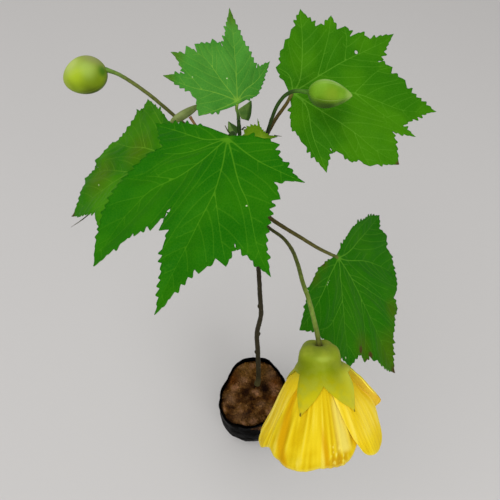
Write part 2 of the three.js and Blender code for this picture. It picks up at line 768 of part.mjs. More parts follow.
const flower = flowerFrame();
const bell = new THREE.Group();
bell.position.copy(flower.position);
bell.quaternion.copy(flower.quaternion);
bell.add(namedMesh('calyx', calyx(), CALYX_GREEN, 0.55));
bell.add(namedMesh('stamen_column', column(), PETAL_YELLOW, 0.6));
for (const [name, shape] of Object.entries(PETALS)) {
  bell.add(namedMesh(name, petal(shape), PETAL_YELLOW, 0.5));
}
plant.add(bell);

export default plant;
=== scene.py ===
# %% [markdown]
# # A young abutilon in a nursery bag
# This notebook dresses the CAD model of a rooted cutting: a thin woody stem in a small black
# nursery bag, lobed leaves on long stalks, two flower buds and one hanging yellow bell flower.
# The CAD solids give each place and size. Every piece here repeats its solid's own rule with
# finer geometry, and adds what the solid leaves out: teeth, veins, pleats, bark and crumbs.

# %% Load the frame
import math

import bmesh
import bpy
import numpy as np
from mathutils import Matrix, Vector, noise
from mathutils.geometry import delaunay_2d_cdt
from mathutils.kdtree import KDTree


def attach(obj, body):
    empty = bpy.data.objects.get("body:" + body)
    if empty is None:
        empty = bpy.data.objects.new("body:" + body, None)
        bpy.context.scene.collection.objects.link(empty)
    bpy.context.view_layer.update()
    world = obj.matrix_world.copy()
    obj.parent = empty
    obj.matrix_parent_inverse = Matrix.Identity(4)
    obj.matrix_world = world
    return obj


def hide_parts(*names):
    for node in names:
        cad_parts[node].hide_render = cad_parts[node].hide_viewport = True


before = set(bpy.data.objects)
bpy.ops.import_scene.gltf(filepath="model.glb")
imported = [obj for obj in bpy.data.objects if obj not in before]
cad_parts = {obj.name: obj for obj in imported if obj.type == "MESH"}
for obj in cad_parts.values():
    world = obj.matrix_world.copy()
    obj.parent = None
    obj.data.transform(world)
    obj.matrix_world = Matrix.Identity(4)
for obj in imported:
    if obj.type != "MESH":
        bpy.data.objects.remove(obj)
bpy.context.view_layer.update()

MM = 0.001
GAP = 0.3

# %% [markdown]
# ## Colours and nodes
# A plant's colours are easiest to read off as sRGB hex, but a shader counts in linear light, so
# one function turns one into the other. A second adds a node with its settings and links, for
# materials and Geometry Nodes alike. Every material starts the same way: with the constants of
# its shader and the place on the object, so that a pattern's scale follows from a size in mm.
# Two more functions take up what most materials share: tints laid over a colour, each where a
# pattern or a mark kept on the piece says, and a fine relief of grains.

# %% Colours and nodes
def linear(code):
    """An sRGB hex colour, such as "#2f7a1c", as linear red, green, blue and alpha."""
    parts = [int(code[i:i + 2], 16) / 255 for i in (1, 3, 5)]
    return (*(c / 12.92 if c <= 0.04045 else ((c + 0.055) / 1.055) ** 2.4 for c in parts), 1)


def wire(tree, node, inputs):
    """Sets or links inputs by name or number. A node stands for its first output in use."""
    for key, value in inputs.items():
        socket = node.inputs[key] if isinstance(key, int) else next(
            s for s in node.inputs if s.name == key and s.enabled)
        if isinstance(value, bpy.types.Node):
            value = next(s for s in value.outputs if s.enabled)
        if isinstance(value, bpy.types.NodeSocket):
            tree.links.new(value, socket)
        else:
            socket.default_value = linear(value) if isinstance(value, str) and value[:1] == "#" else value


def add_node(tree, kind, inputs=None, ramp=None, **options):
    """Adds a node with its options, the stops of its colour ramp, and its inputs."""
    node = tree.nodes.new(kind)
    for option, value in options.items():
        setattr(node, option, value)
    for number, (place, colour) in enumerate(ramp or []):
        stops = node.color_ramp.elements
        stop = stops[number] if number < len(stops) else stops.new(place)
        stop.position = place
        stop.color = linear(colour)
    wire(tree, node, inputs or {})
    return node


def start_material(name, **constants):
    """A material, its tree, its shader with these constants, and the place on the object."""
    material = bpy.data.materials.new(name)
    material.use_nodes = True
    tree = material.node_tree
    shader = tree.nodes["Principled BSDF"]
    wire(tree, shader, {key.replace("_", " "): value for key, value in constants.items()})
    return material, tree, shader, add_node(tree, "ShaderNodeTexCoord").outputs["Object"]


def per_mm(size):
    """The texture scale that gives a pattern features of this size in millimetres."""
    return 1 / (size * MM)


SMOOTH = dict(interpolation_type="SMOOTHSTEP")
COLOURS = dict(data_type="RGBA")


def layered(tree, colour, layers):
    """Lays tints over a colour, each over the last. A layer is its driver (a node, or the name of a
    mark at the points), the driver's values where it starts and ends, its cover there, and its tint."""
    for driver, start, end, at_start, at_end, tint in layers:
        if isinstance(driver, str):
            driver = add_node(tree, "ShaderNodeAttribute", attribute_name=driver).outputs["Fac"]
        cover = add_node(tree, "ShaderNodeMapRange", {
            "Value": driver, "From Min": start, "From Max": end,
            "To Min": at_start, "To Max": at_end}, **SMOOTH)
        colour = add_node(tree, "ShaderNodeMix", {"Factor": cover, "A": colour, "B": tint}, **COLOURS)
    return colour


def grainy(tree, place, size, depth, detail=2.0, **under):
    """Relief from noise, with grains of this size and depth in mm, over another relief if there is one."""
    grains = add_node(tree, "ShaderNodeTexNoise", {"Vector": place, "Scale": per_mm(size), "Detail": detail})
    return add_node(tree, "ShaderNodeBump", {"Height": grains, "Distance": depth * MM, **under})


print("a leaf green in linear light:", [round(c, 3) for c in linear("#2f7a1c")[:3]])

# %% [markdown]
# ## Mesh helpers
# Two kinds of skin make most of the plant. A *ring skin* joins rings of points and closes both
# ends with a pole: bag, soil, stem, calyx, stamens and buds are ring skins. A *two-sided blade*
# has an upper face, a lower face and a thin rim between them: leaves and petals are blades. What
# is left, the stalks and all small grains, comes from Geometry Nodes. Each skin is one closed
# body that faces outwards.

# %% Ring skins
def new_piece(name, points, faces, material, marks, uv):
    """One mesh from points in mm. marks are numbers kept at the points, uv a place per face corner."""
    mesh = bpy.data.meshes.new(name)
    mesh.from_pydata((np.asarray(points) * MM).tolist(), [], faces)
    for label, values in marks.items():
        attribute = mesh.attributes.new(label, "FLOAT", "POINT")
        attribute.data.foreach_set("value", np.asarray(values, np.float32))
    layer = mesh.uv_layers.new(name="OFBake")
    layer.data.foreach_set("uv", np.asarray(uv, np.float32).ravel())
    mesh.materials.append(material)
    mesh.shade_smooth()
    piece = bpy.data.objects.new(name, mesh)
    bpy.context.scene.collection.objects.link(piece)
    return piece


def ring_skin(name, rings, material, marks=None):
    """A closed skin through rings of points, as (rows, sides, 3) in mm, with a pole at each end."""
    rows, sides = rings.shape[:2]
    count = rows * sides
    points = np.vstack([rings.reshape(-1, 3), rings[0].mean(0), rings[-1].mean(0)])
    marks = {k: np.concatenate([v.ravel(), [v[0].mean(), v[-1].mean()]]) for k, v in (marks or {}).items()}
    faces, uv = [], []
    levels = np.linspace(0.02, 0.98, rows)
    for side in range(sides):
        after = (side + 1) % sides
        left, right = side / sides, (side + 1) / sides
        for row in range(rows - 1):
            low, high = row * sides, (row + 1) * sides
            faces.append((low + side, low + after, high + after, high + side))
            v, w = levels[row], levels[row + 1]
            uv += [(left, v), (right, v), (right, w), (left, w)]
        top = (rows - 1) * sides
        middle = (left + right) / 2
        faces += [(after, side, count), (top + side, top + after, count + 1)]
        uv += [(right, 0.02), (left, 0.02), (middle, 0), (left, 0.98), (right, 0.98), (middle, 1)]
    return new_piece(name, points, faces, material, marks, uv)


print("a ring skin can be closed round any path")

# %% Two-sided blades
def grid_faces(rows, columns):
    """The faces of a sheet of points that are numbered row by row."""
    return [(r * columns + c, r * columns + c + 1, (r + 1) * columns + c + 1, (r + 1) * columns + c)
            for r in range(rows - 1) for c in range(columns - 1)]


def blade_skin(name, upper, lower, faces, flat, material, marks):
    """A closed blade from its upper and lower points in mm. On the UV map its flat outline lies
    twice, the upper face on the left and the lower on the right, with the rim as a strip between."""
    count = len(upper)
    used = {}
    for face in faces:
        for a, b in zip(face, (*face[1:], face[0])):
            used[(a, b)] = True
    rim = [edge for edge in used if (edge[1], edge[0]) not in used]
    low, high = flat.min(0), flat.max(0)
    flat = (flat - low) / (high - low).max()
    uv = []
    for face in faces:
        uv += [(0.01 + 0.46 * flat[i][0], 0.02 + 0.96 * flat[i][1]) for i in face]
    under = [tuple(i + count for i in reversed(face)) for face in faces]
    for face in faces:
        uv += [(0.53 + 0.46 * flat[i][0], 0.02 + 0.96 * flat[i][1]) for i in reversed(face)]
    edges = [(b, a, a + count, b + count) for a, b in rim]
    for number in range(len(rim)):
        v, w = number / len(rim), (number + 1) / len(rim)
        uv += [(0.485, w), (0.485, v), (0.515, v), (0.515, w)]
    marks = {k: np.concatenate([v, v]) for k, v in marks.items()}
    marks["under"] = np.repeat([0.0, 1.0], count)
    return new_piece(name, np.vstack([upper, lower]), [*faces, *under, *edges], material, marks, uv)


print("a sheet of 3 by 3 points has", len(grid_faces(3, 3)), "faces")

# %% Dress the CAD nodes
def dress(piece, slot, *nodes):
    """Turns the skin outwards if it isn't, and puts the piece in place of its CAD nodes."""
    shell = bmesh.new()
    shell.from_mesh(piece.data)
    volume = shell.calc_volume(signed=True)
    if volume < 0:
        bmesh.ops.reverse_faces(shell, faces=shell.faces)
        shell.to_mesh(piece.data)
    shell.free()
    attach(piece, "root")
    if nodes:
        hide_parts(*nodes)
    print(piece.name, len(piece.data.loop_triangles), "triangles,", round(abs(volume) * 1e6, 2), "cm3")


print("pieces can take the place of CAD nodes")

# %% Paths and frames
def smooth_way(points, step):
    """A smooth line through points (a centripetal Catmull-Rom curve), cut into even steps in mm."""
    points = [np.array(p, float) for p in points]
    points = [2 * points[0] - points[1], *points, 2 * points[-1] - points[-2]]
    samples = []
    for a, b, c, d in zip(points, points[1:], points[2:], points[3:]):
        t = np.cumsum([0, *(np.linalg.norm(q - p) ** 0.5 + 1e-6 for p, q in ((a, b), (b, c), (c, d)))])
        for u in np.linspace(t[1], t[2], 24, endpoint=False):
            ab = ((t[1] - u) * a + (u - t[0]) * b) / (t[1] - t[0])
            bc = ((t[2] - u) * b + (u - t[1]) * c) / (t[2] - t[1])
            cd = ((t[3] - u) * c + (u - t[2]) * d) / (t[3] - t[2])
            abc = ((t[2] - u) * ab + (u - t[0]) * bc) / (t[2] - t[0])
            bcd = ((t[3] - u) * bc + (u - t[1]) * cd) / (t[3] - t[1])
            samples.append(((t[2] - u) * abc + (u - t[1]) * bcd) / (t[2] - t[1]))
    samples = np.array([*samples, points[-2]])
    run = np.concatenate([[0], np.cumsum(np.linalg.norm(np.diff(samples, axis=0), axis=1))])
    even = np.linspace(0, run[-1], max(2, round(run[-1] / step) + 1))
    return np.stack([np.interp(even, run, samples[:, i]) for i in range(samples.shape[1])], 1)


def unit(vector):
    return np.array(vector, float) / np.linalg.norm(vector)


def turned(degrees, axis):
    """The matrix of a turn about X, Y or Z."""
    c, s = math.cos(math.radians(degrees)), math.sin(math.radians(degrees))
    matrix = np.eye(3)
    i, j = {"x": (1, 2), "y": (2, 0), "z": (0, 1)}[axis]
    matrix[i, i], matrix[i, j], matrix[j, i], matrix[j, j] = c, -s, s, c
    return matrix


def ease(value, low, high):
    """0 below low, 1 above high, and smooth between."""
    t = np.clip((np.asarray(value, float) - low) / (high - low), 0, 1)
    return t * t * (3 - 2 * t)


def hill(value, middle, spread):
    """1 at the middle, falling off softly to both sides."""
    return np.exp(-(((value - middle) / spread) ** 2))


def beside(degrees, direction):
    """How far directions lie beside this one, from -180 to 180 degrees."""
    return (degrees - direction + 180) % 360 - 180


def full_turn(sides):
    """The angles of this many points round a ring."""
    return np.linspace(0, 2 * np.pi, sides, endpoint=False)


def rough(points, size, seed):
    """Smooth noise from -1 to 1 at points in mm, with features of this size."""
    shift = Vector((seed * 7.3, seed * 3.1, seed * 5.7))
    flat = np.asarray(points, float).reshape(-1, 3)
    values = [noise.noise(Vector(p) / size + shift) for p in flat]
    return np.array(values).reshape(np.asarray(points).shape[:-1])


print("a smooth way of 10 mm in steps:", len(smooth_way([(0, 0, 0), (5, 1, 0), (10, 0, 0)], 1)))

# %% [markdown]
# ## Recipes for Geometry Nodes
# Whatever repeats over a surface or follows a path is made by a Geometry Nodes tree, as a recipe
# with named sizes. A tree only lives on a modifier, so one function runs it on a base object,
# keeps the result as a plain mesh, and takes the modifier off again.

# %% Recipes
def new_recipe(name, sizes):
    """A Geometry Nodes tree with one named input for each size. Returns the tree and its two ends."""
    tree = bpy.data.node_groups.new(name, "GeometryNodeTree")
    tree.interface.new_socket("Geometry", in_out="INPUT", socket_type="NodeSocketGeometry")
    for label, value in sizes.items():
        kind = "NodeSocketInt" if isinstance(value, int) else "NodeSocketFloat"
        tree.interface.new_socket(label, in_out="INPUT", socket_type=kind).default_value = value
    tree.interface.new_socket("Geometry", in_out="OUTPUT", socket_type="NodeSocketGeometry")
    return tree, tree.nodes.new("NodeGroupInput").outputs, tree.nodes.new("NodeGroupOutput")


def cook(recipe, base, name, **sizes):
    """Runs a recipe on a base object with these sizes, and returns the result as a plain mesh."""
    modifier = base.modifiers.new(recipe.name, "NODES")
    modifier.node_group = recipe
    for socket in recipe.interface.items_tree:
        if socket.in_out == "INPUT" and socket.name.replace(" ", "_") in sizes:
            modifier[socket.identifier] = sizes[socket.name.replace(" ", "_")]
    graph = bpy.context.evaluated_depsgraph_get()
    mesh = bpy.data.meshes.new_from_object(base.evaluated_get(graph))
    base.modifiers.remove(modifier)
    mesh.name = name
    mesh.shade_smooth()
    piece = bpy.data.objects.new(name, mesh)
    bpy.context.scene.collection.objects.link(piece)
    return piece


def line_object(name, points):
    """An object that is only a line through points in mm, for a recipe to follow."""
    mesh = bpy.data.meshes.new(name)
    mesh.from_pydata((np.asarray(points) * MM).tolist(), [(i, i + 1) for i in range(len(points) - 1)], [])
    line = bpy.data.objects.new(name, mesh)
    bpy.context.scene.collection.objects.link(line)
    return line


def strew(recipe, made, spots, grain, rotation, scale, material):
    """Ends a recipe with a turned and scaled grain on each spot, as real faces in their material."""
    grains = add_node(recipe, "GeometryNodeInstanceOnPoints", {
        "Points": spots, "Instance": grain, "Rotation": rotation, "Scale": scale})
    grains = add_node(recipe, "GeometryNodeRealizeInstances", {"Geometry": grains})
    grains = add_node(recipe, "GeometryNodeSetMaterial", {"Geometry": grains, "Material": material})
    wire(recipe, made, {"Geometry": grains})


print("recipes can be cooked on any mesh")

# %% [markdown]
# ## The nursery bag
# Rooted cuttings are sold in small bags of thin black polythene. The soil packs the film into a
# cylinder that is never quite round: it is pulled into slight corners, wrinkles where it is
# gripped, and its open edge stands a few millimetres above the soil. The solid's outline is
# turned again with many more points, and noise stretched along the height gives the creases.

# %% Bag outline
BAG_RADIUS = 36
BAG_HEIGHT = 72
BAG_WALL = 0.8
BAG_SIDES = 220
# The outline as height and inset in mm, the blunt corners as their number, their share of the
# radius and their turn in radians, and the pinches as directions in degrees.
BAG_OUTLINE = [[0, 9.5], [5, 6.5], [18, 3], [45, 0.5], [BAG_HEIGHT, 0]]
BAG_CORNERS = [[2, 0.07, -2.2], [3, 0.048, 1.1], [5, 0.02, 1.4]]
BAG_PINCHES = [24, 68, 110, 171, 229, 300]
around_bag = full_turn(BAG_SIDES)


def bag_shape(radius, height):
    """Points of a bag of this radius, pulled into its blunt corners above the foot."""
    swell = ease(height, 2, 20)
    scale = 1 + sum(swell * size * np.cos(corners * around_bag + turn) for corners, size, turn in BAG_CORNERS)
    radius = radius * scale
    return np.stack(np.broadcast_arrays(radius * np.cos(around_bag), radius * np.sin(around_bag), height), -1)


def bag_radius(height):
    """The bag's radius at a height, in mm, before its corners."""
    line = smooth_way([(h, BAG_RADIUS - inset) for h, inset in BAG_OUTLINE], 1)
    return np.interp(height, line[:, 0], line[:, 1])


print("bag radius halfway up, in mm:", round(float(bag_radius(BAG_HEIGHT / 2)), 2))

# %% [markdown]
# ## Black polythene film
# Polythene is blown into a thin tube of film, so it has no grain, and black film is nearly black
# in colour. New film has a broad soft sheen. On this bag dust from the soil has dulled it, so
# the creases show by their relief more than by their shine.

# %% Polythene material
def polythene():
    # Blown film has no grain. Soil dust has dulled its sheen to almost nothing, most in patches.
    material, tree, shader, place = start_material("black_polythene_film", IOR=1.51, Specular_IOR_Level=0.004)
    clouds = add_node(tree, "ShaderNodeTexNoise", {"Vector": place, "Scale": per_mm(9), "Detail": 5.0})
    dust = add_node(tree, "ShaderNodeMapRange", {
        "Value": clouds, "From Min": 0.5, "From Max": 0.75}, **SMOOTH)
    colour = add_node(tree, "ShaderNodeMix", {"Factor": dust, "A": "#010101", "B": "#090705"}, **COLOURS)
    dull = add_node(tree, "ShaderNodeMapRange", {"Value": dust, "To Min": 0.36, "To Max": 0.75})
    upright = add_node(tree, "ShaderNodeMapping", {"Vector": place, "Scale": (1, 1, 0.35)})
    creases = grainy(tree, upright, 5, 0.5, 4.0)
    wire(tree, shader, {"Base Color": colour, "Roughness": dull, "Normal": creases})
    return material


film = polythene()
print("film for a bag", 2 * BAG_RADIUS, "mm across")

# %% Bag
def bag():
    """The film's outside from the foot up to its edge, over it, and down the inside to the floor."""
    # The rings lie close at the rounded foot and wider above it.
    upwards = np.concatenate([np.linspace(0, 6, 12), np.linspace(7, BAG_HEIGHT, 66)])
    downwards = upwards[::-1]
    outside = np.stack([bag_radius(upwards), upwards], 1)
    start = np.stack([np.linspace(2, outside[0, 0] - 0.6, 10), np.zeros(10)], 1)
    inside = np.stack([bag_radius(downwards) - BAG_WALL, np.maximum(downwards, BAG_WALL)], 1)
    inside[0, 1] = BAG_HEIGHT
    # The cut edge is rolled over into a soft lip.
    outside[:, 0] += 0.5 * hill(upwards, BAG_HEIGHT - 0.6, 1.6)
    inside[:, 0] -= 1.0 * hill(downwards, BAG_HEIGHT - 0.8, 1.2)
    floor = np.stack([np.linspace(inside[-1, 0] - 1, 2, 10), np.full(10, BAG_WALL)], 1)
    profile = np.concatenate([start, outside, inside[:-6], floor])
    height = profile[:, 1:]
    rings = bag_shape(profile[:, :1], height)
    # Wrinkles run mostly up the film, and slanting pulls cross them. The foot stays flat.
    free = ease(height, 3, 14)
    drawn = rings * [1, 1, 0.3]
    wrinkles = 0.9 * rough(drawn, 9, 1) + 0.5 * np.abs(rough(drawn, 4.5, 2)) + 0.8 * rough(rings, 22, 3)
    edge = ease(height, 62, BAG_HEIGHT)
    wrinkles = wrinkles * free + edge * 0.9 * rough(rings, 11, 4)
    # Fingers have pinched the film into blunt corners below its edge.
    pinch = sum(hill(beside(np.degrees(around_bag), direction), 0, 11) for direction in BAG_PINCHES)
    wrinkles += (1.5 * pinch - 0.5) * ease(height, 40, 70)
    out = np.stack([np.cos(around_bag), np.sin(around_bag), 0 * around_bag], 1)
    rings = rings + out * (wrinkles - 0.6 * free)[..., None]
    # The cut edge rises and falls a little.
    rings[..., 2] -= edge * (1.2 + 1.2 * np.sin(3 * around_bag + 1) + 0.6 * np.sin(7 * around_bag))
    return ring_skin("bag_film", rings, film)


dress(bag(), "bag_film", "bag")

# %% [markdown]
# ## Soil
# The bag holds a red-brown nursery soil with a little compost, watered and dried until its top
# has set into lumps with a hollow beside the stem. The lumps come from the solid's rule and from
# finer noise. Loose crumbs lie on top: a recipe scatters small stones over the faces that are
# marked as the soil's top, each turned and sized by its own random number.

# %% Soil material
STEM_FOOT = (4, 10)
SOIL_LEVEL = 68
SOIL_EDGE_DROP = 2.5
SOIL_HOLLOW = (12, 5)
SOIL_TINTS = {"damp": "#120401", "pale": "#6c5038", "ochre": "#5e4216", "rusty": "#5a3008"}
# Where the soil has these colours, as [x, y, radius, strength] in mm. The dark places are partly
# damp soil and partly painted shade: in the hollow, round the stem and near the bag's front edge.
SOIL_PLACES = {
    "damp": [
        [12, 7, 7, 1], [-6, -2, 7, 0.6], [16, 1, 6, 0.6], [-14, 0, 4, 0.5], [-4, 4, 5, 0.5],
        [0, -28, 9, 0.4]],
    "pale": [
        [-24, -6, 5, 0.8], [-12, 14, 5, 0.5], [8, -12, 4, 0.6], [17, 21, 6, 0.7], [-14, -24, 7, 0.4]],
    "ochre": [[-8, 27, 9, 0.8], [9, 24, 8, 0.7], [18, -12, 5, 0.6]],
    "rusty": [[22, 11, 5, 0.8], [-22, 14, 6, 0.8], [20, -6, 5, 0.6]],
}


def earth(name, light):
    # Set nursery soil: matt, red-brown, with pale grains, and darker patches that are partly damp
    # soil and partly painted shade.
    material, tree, shader, place = start_material(
        name, Roughness=0.95, IOR=1.45, Specular_IOR_Level=0.1)
    patches = add_node(tree, "ShaderNodeTexNoise", {"Vector": place, "Scale": per_mm(8), "Detail": 3.0})
    colour = add_node(tree, "ShaderNodeValToRGB", {0: patches}, ramp=[
        (0.34, "#220f02"), (0.46, "#46290a"), (0.56, "#64441e"), (0.68, "#825c3e")])
    # Dark places of damp soil and painted shade, and pale, ochre and rusty places, each kept at the
    # points.
    for label, tint in SOIL_TINTS.items():
        share = add_node(tree, "ShaderNodeAttribute", attribute_name=label).outputs["Fac"]
        colour = add_node(tree, "ShaderNodeMix", {"Factor": share, "A": colour, "B": tint}, **COLOURS)
    grains = add_node(tree, "ShaderNodeTexNoise", {"Vector": place, "Scale": per_mm(1.6), "Detail": 4.0})
    tone = add_node(tree, "ShaderNodeMapRange", {
        "Value": grains, "From Min": 0.35, "From Max": 0.7, "To Min": 0.7 * light, "To Max": 1.3 * light})
    colour = add_node(tree, "ShaderNodeVectorMath", {0: colour, "Scale": tone}, operation="SCALE")
    lumps = grainy(tree, place, 2.5, 1.2, 6.0)
    grit = grainy(tree, place, 0.6, 0.25, 3.0, Normal=lumps)
    wire(tree, shader, {"Base Color": colour, "Normal": grit})
    return material


print("soil level in mm:", SOIL_LEVEL)

# %% Soil body
def soil():
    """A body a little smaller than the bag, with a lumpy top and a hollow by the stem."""
    inward = BAG_WALL + 2 * GAP
    bottom = BAG_WALL + GAP
    heights = np.linspace(bottom, SOIL_LEVEL - SOIL_EDGE_DROP, 40)
    sides = np.stack([bag_radius(heights) - inward, heights], 1)
    base = np.stack([np.linspace(2, sides[0, 0] - 1, 8), np.full(8, bottom)], 1)
    steps = np.linspace(0, 1, 70)[1:]
    drop = SOIL_EDGE_DROP * (1 - ease(steps, 0, 0.1))
    top = np.stack([sides[-1, 0] * (1 - steps) + 0.4 * steps, SOIL_LEVEL - drop], 1)
    profile = np.concatenate([base, sides, top])
    rings = bag_shape(profile[:, :1], profile[:, 1:])
    x, y = rings[..., 0], rings[..., 1]
    on_top = ease(profile[:, 1:], SOIL_LEVEL - 2.6, SOIL_LEVEL - 0.2) * np.ones_like(x)
    from_stem = np.hypot(x - STEM_FOOT[0], y - STEM_FOOT[1])
    # Large lumps are the solid's own rule, and clods of three sizes lie over them.
    lump = np.sin(x * 0.31 + 1) * np.cos(y * 0.27) - 0.5 * np.sin(y * 0.5) - 0.6
    level = 1.4 * lump * ease(from_stem, 8, 16)
    clods = 1.1 * rough(rings, 6, 5) + 0.6 * rough(rings, 2.6, 6) + 0.35 * rough(rings, 1.2, 7)
    level += clods * ease(from_stem, 3, 7)
    level -= 3.4 * hill(np.hypot(x - SOIL_HOLLOW[0], y - SOIL_HOLLOW[1]), 0, 4.5)
    rings[..., 2] += on_top * level
    marks = {"top": on_top}
    blur = 2.5 * rough(rings, 5, 8)
    for label, places in SOIL_PLACES.items():
        marks[label] = np.max([strength * hill(np.hypot(x - px, y - py) + blur, 0, size)
                               for px, py, size, strength in places], axis=0)
    return ring_skin("soil_body", rings, earth("nursery_soil", 1.0), marks)


soil_body = soil()
dress(soil_body, "soil", "soil")

# %% Crumbs of soil
# Faces with a top mark above this carry crumbs, and each crumb is turned by up to a full circle.
TOP_OF_SOIL = 0.9
FULL_CIRCLE = 6.28
recipe, given, made = new_recipe("scatter crumbs", {
    "Crumbs per m2": 4.0e5, "Smallest": 0.25 * MM, "Largest": 1.5 * MM, "Seed": 3})
top = add_node(recipe, "GeometryNodeInputNamedAttribute", {"Name": "top"}, data_type="FLOAT")
wanted = add_node(recipe, "FunctionNodeCompare", {"A": top, "B": TOP_OF_SOIL}, operation="GREATER_THAN")
spots = add_node(recipe, "GeometryNodeDistributePointsOnFaces", {
    "Mesh": given["Geometry"], "Selection": wanted, "Density": given["Crumbs per m2"], "Seed": given["Seed"]})
stone = add_node(recipe, "GeometryNodeMeshIcoSphere", {"Radius": 1.0, "Subdivisions": 1})
bumps = add_node(recipe, "ShaderNodeTexNoise", {"Scale": 1.3, "Detail": 2.0}).outputs["Color"]
bumps = add_node(recipe, "ShaderNodeVectorMath", {0: bumps, 1: (0.5, 0.5, 0.5)}, operation="SUBTRACT")
stone = add_node(recipe, "GeometryNodeSetPosition", {"Geometry": stone, "Offset": bumps})
turns = add_node(recipe, "FunctionNodeRandomValue", {
    "Max": (FULL_CIRCLE, FULL_CIRCLE, FULL_CIRCLE), "Seed": given["Seed"]}, data_type="FLOAT_VECTOR")
draw = add_node(recipe, "FunctionNodeRandomValue", {"Seed": given["Seed"]})
draw = add_node(recipe, "ShaderNodeMath", {0: draw, 1: 4.0}, operation="POWER")
size = add_node(recipe, "ShaderNodeMapRange", {
    "Value": draw, "To Min": given["Smallest"], "To Max": given["Largest"]})
strew(recipe, made, spots, stone, turns, size, earth("soil_crumbs", 1.3))

dress(cook(recipe, soil_body, "soil_crumbs"), "soil")

# %% [markdown]
# ## The stem
# The cutting's stem is a thin woody shoot: dark olive-brown bark with fine lengthwise furrows,
# the bumps of old leaf scars, a slight flare where it enters the soil and green young wood at
# the tip. It is a ring skin along the solid's own path, with the furrows as real relief.

# %% Stem path
STEM_BASE_RADIUS = 2.4
STEM_TIP_RADIUS = 1.0
STEM_FLARE = 0.9
STEM_FLARE_SHARE = 0.04
STEM_PATH = [
    (*STEM_FOOT, SOIL_LEVEL + GAP), (4.9, 10.4, 78), (3.7, 12, 138), (2.5, 11.4, 174), (5.3, 9.4, 211),
    (4.1, 8.6, 238), (2.7, 8.8, 269), (-1.2, 10.4, 337), (-8.8, 10, 390), (-9.5, 16, 396),
]
# Old leaf scars, as height in mm, direction in degrees and size in mm, and their reach in mm.
SCAR_REACH = 2.2
STEM_SCARS = [[138, 180, 0.8], [174, 0, 0.9], [224, 180, 0.8]]
STEM_STEP = 0.7
stem_line = smooth_way(STEM_PATH, STEM_STEP)
stem_heights = stem_line[:, 2]


def stem_radius(share):
    """The stem's radius in mm at a share of the way from soil to tip."""
    flare = STEM_FLARE * np.maximum(0, 1 - share / STEM_FLARE_SHARE)
    return STEM_BASE_RADIUS + (STEM_TIP_RADIUS - STEM_BASE_RADIUS) * share ** 1.2 + flare


def carried_frames(line):
    """Two directions across the line at each of its points, carried along without twisting."""
    tangents = np.gradient(line, axis=0)
    tangents /= np.linalg.norm(tangents, axis=1)[:, None]
    across = [unit(np.cross(tangents[0], [0, 1, 0.01]))]
    for tangent in tangents[1:]:
        across.append(unit(across[-1] - (across[-1] @ tangent) * tangent))
    across = np.array(across)
    return across, np.cross(tangents, across)


print("stem length in mm:", round(STEM_STEP * (len(stem_line) - 1)))

# %% [markdown]
# ## Bark
# Young bark is matt and nearly black-brown, with an olive cast where the green layer under it
# shows through. Pale corky pores sit on it. Colour follows the height: olive and paler at the
# soil, darkest along the middle, green in the last few centimetres below the shoot tip.

# %% Bark material
def bark():
    # Young bark: matt, streaked along the stem, from olive at the soil over brown-black to green.
    material, tree, shader, place = start_material(
        "young_bark", Roughness=0.7, IOR=1.45, Specular_IOR_Level=0.14)
    drawn = add_node(tree, "ShaderNodeMapping", {"Vector": place, "Scale": (1, 1, 0.15)})
    streaks = add_node(tree, "ShaderNodeTexNoise", {"Vector": drawn, "Scale": per_mm(1.5), "Detail": 4.0})
    old = add_node(tree, "ShaderNodeMix", {"Factor": streaks, "A": "#1a160a", "B": "#3c3620"}, **COLOURS)
    green = add_node(tree, "ShaderNodeMix", {"Factor": streaks, "A": "#0f2606", "B": "#2c4414"}, **COLOURS)
    # The mark is the height in mm: olive up to 92, and green from 340 to the tip.
    colour = layered(tree, old, [
        ("height", 66.0, 92.0, 0.75, 0.0, "#57512f"), ("height", 340.0, 392.0, 0.0, 1.0, green)])
    cracks = grainy(tree, drawn, 0.7, 0.25, 4.0)
    wire(tree, shader, {"Base Color": colour, "Normal": cracks})
    return material


young_bark = bark()
print("bark from the soil up to", round(stem_heights.max()), "mm")

# %% Stem
STEM_SIDES = 32


def stem():
    """The bark as rings along the stem's line, with furrows and the bumps of old leaf scars."""
    around = full_turn(STEM_SIDES)
    across, forward = carried_frames(stem_line)
    share = np.linspace(0, 1, len(stem_line))
    radius = stem_radius(share)[:, None] * np.ones(STEM_SIDES)
    out = across[:, None] * np.cos(around)[None, :, None] + forward[:, None] * np.sin(around)[None, :, None]
    surface = stem_line[:, None] + out * radius[..., None]
    furrows = 0.16 * rough(surface * [1, 1, 0.16], 0.8, 8) + 0.12 * rough(surface, 3, 9)
    radius = radius + furrows * ease(share, 0, 0.03)[:, None]
    for height, direction, size in STEM_SCARS:
        way = np.array([math.cos(math.radians(direction)), math.sin(math.radians(direction)), 0])
        reach = hill(surface[..., 2], height, SCAR_REACH)
        radius = radius + size * 1.2 * reach * np.maximum(0, out @ way) ** 2
    rings = stem_line[:, None] + out * radius[..., None]
    rings[0, :, 2] = SOIL_LEVEL + GAP
    return ring_skin("stem_bark", rings, young_bark, {"height": rings[..., 2]})


stem_piece = stem()
dress(stem_piece, "bark", "stem")

# %% Corky pores on the stem
def cork():
    # Cork grows out of each pore as a dry pale grain with no sheen at all.
    material, tree, shader, place = start_material("cork_pores", Roughness=0.9, IOR=1.45)
    tone = add_node(tree, "ShaderNodeTexNoise", {"Vector": place, "Scale": per_mm(1)})
    colour = add_node(tree, "ShaderNodeMix", {"Factor": tone, "A": "#4d4630", "B": "#857a58"}, **COLOURS)
    wire(tree, shader, {"Base Color": colour})
    return material


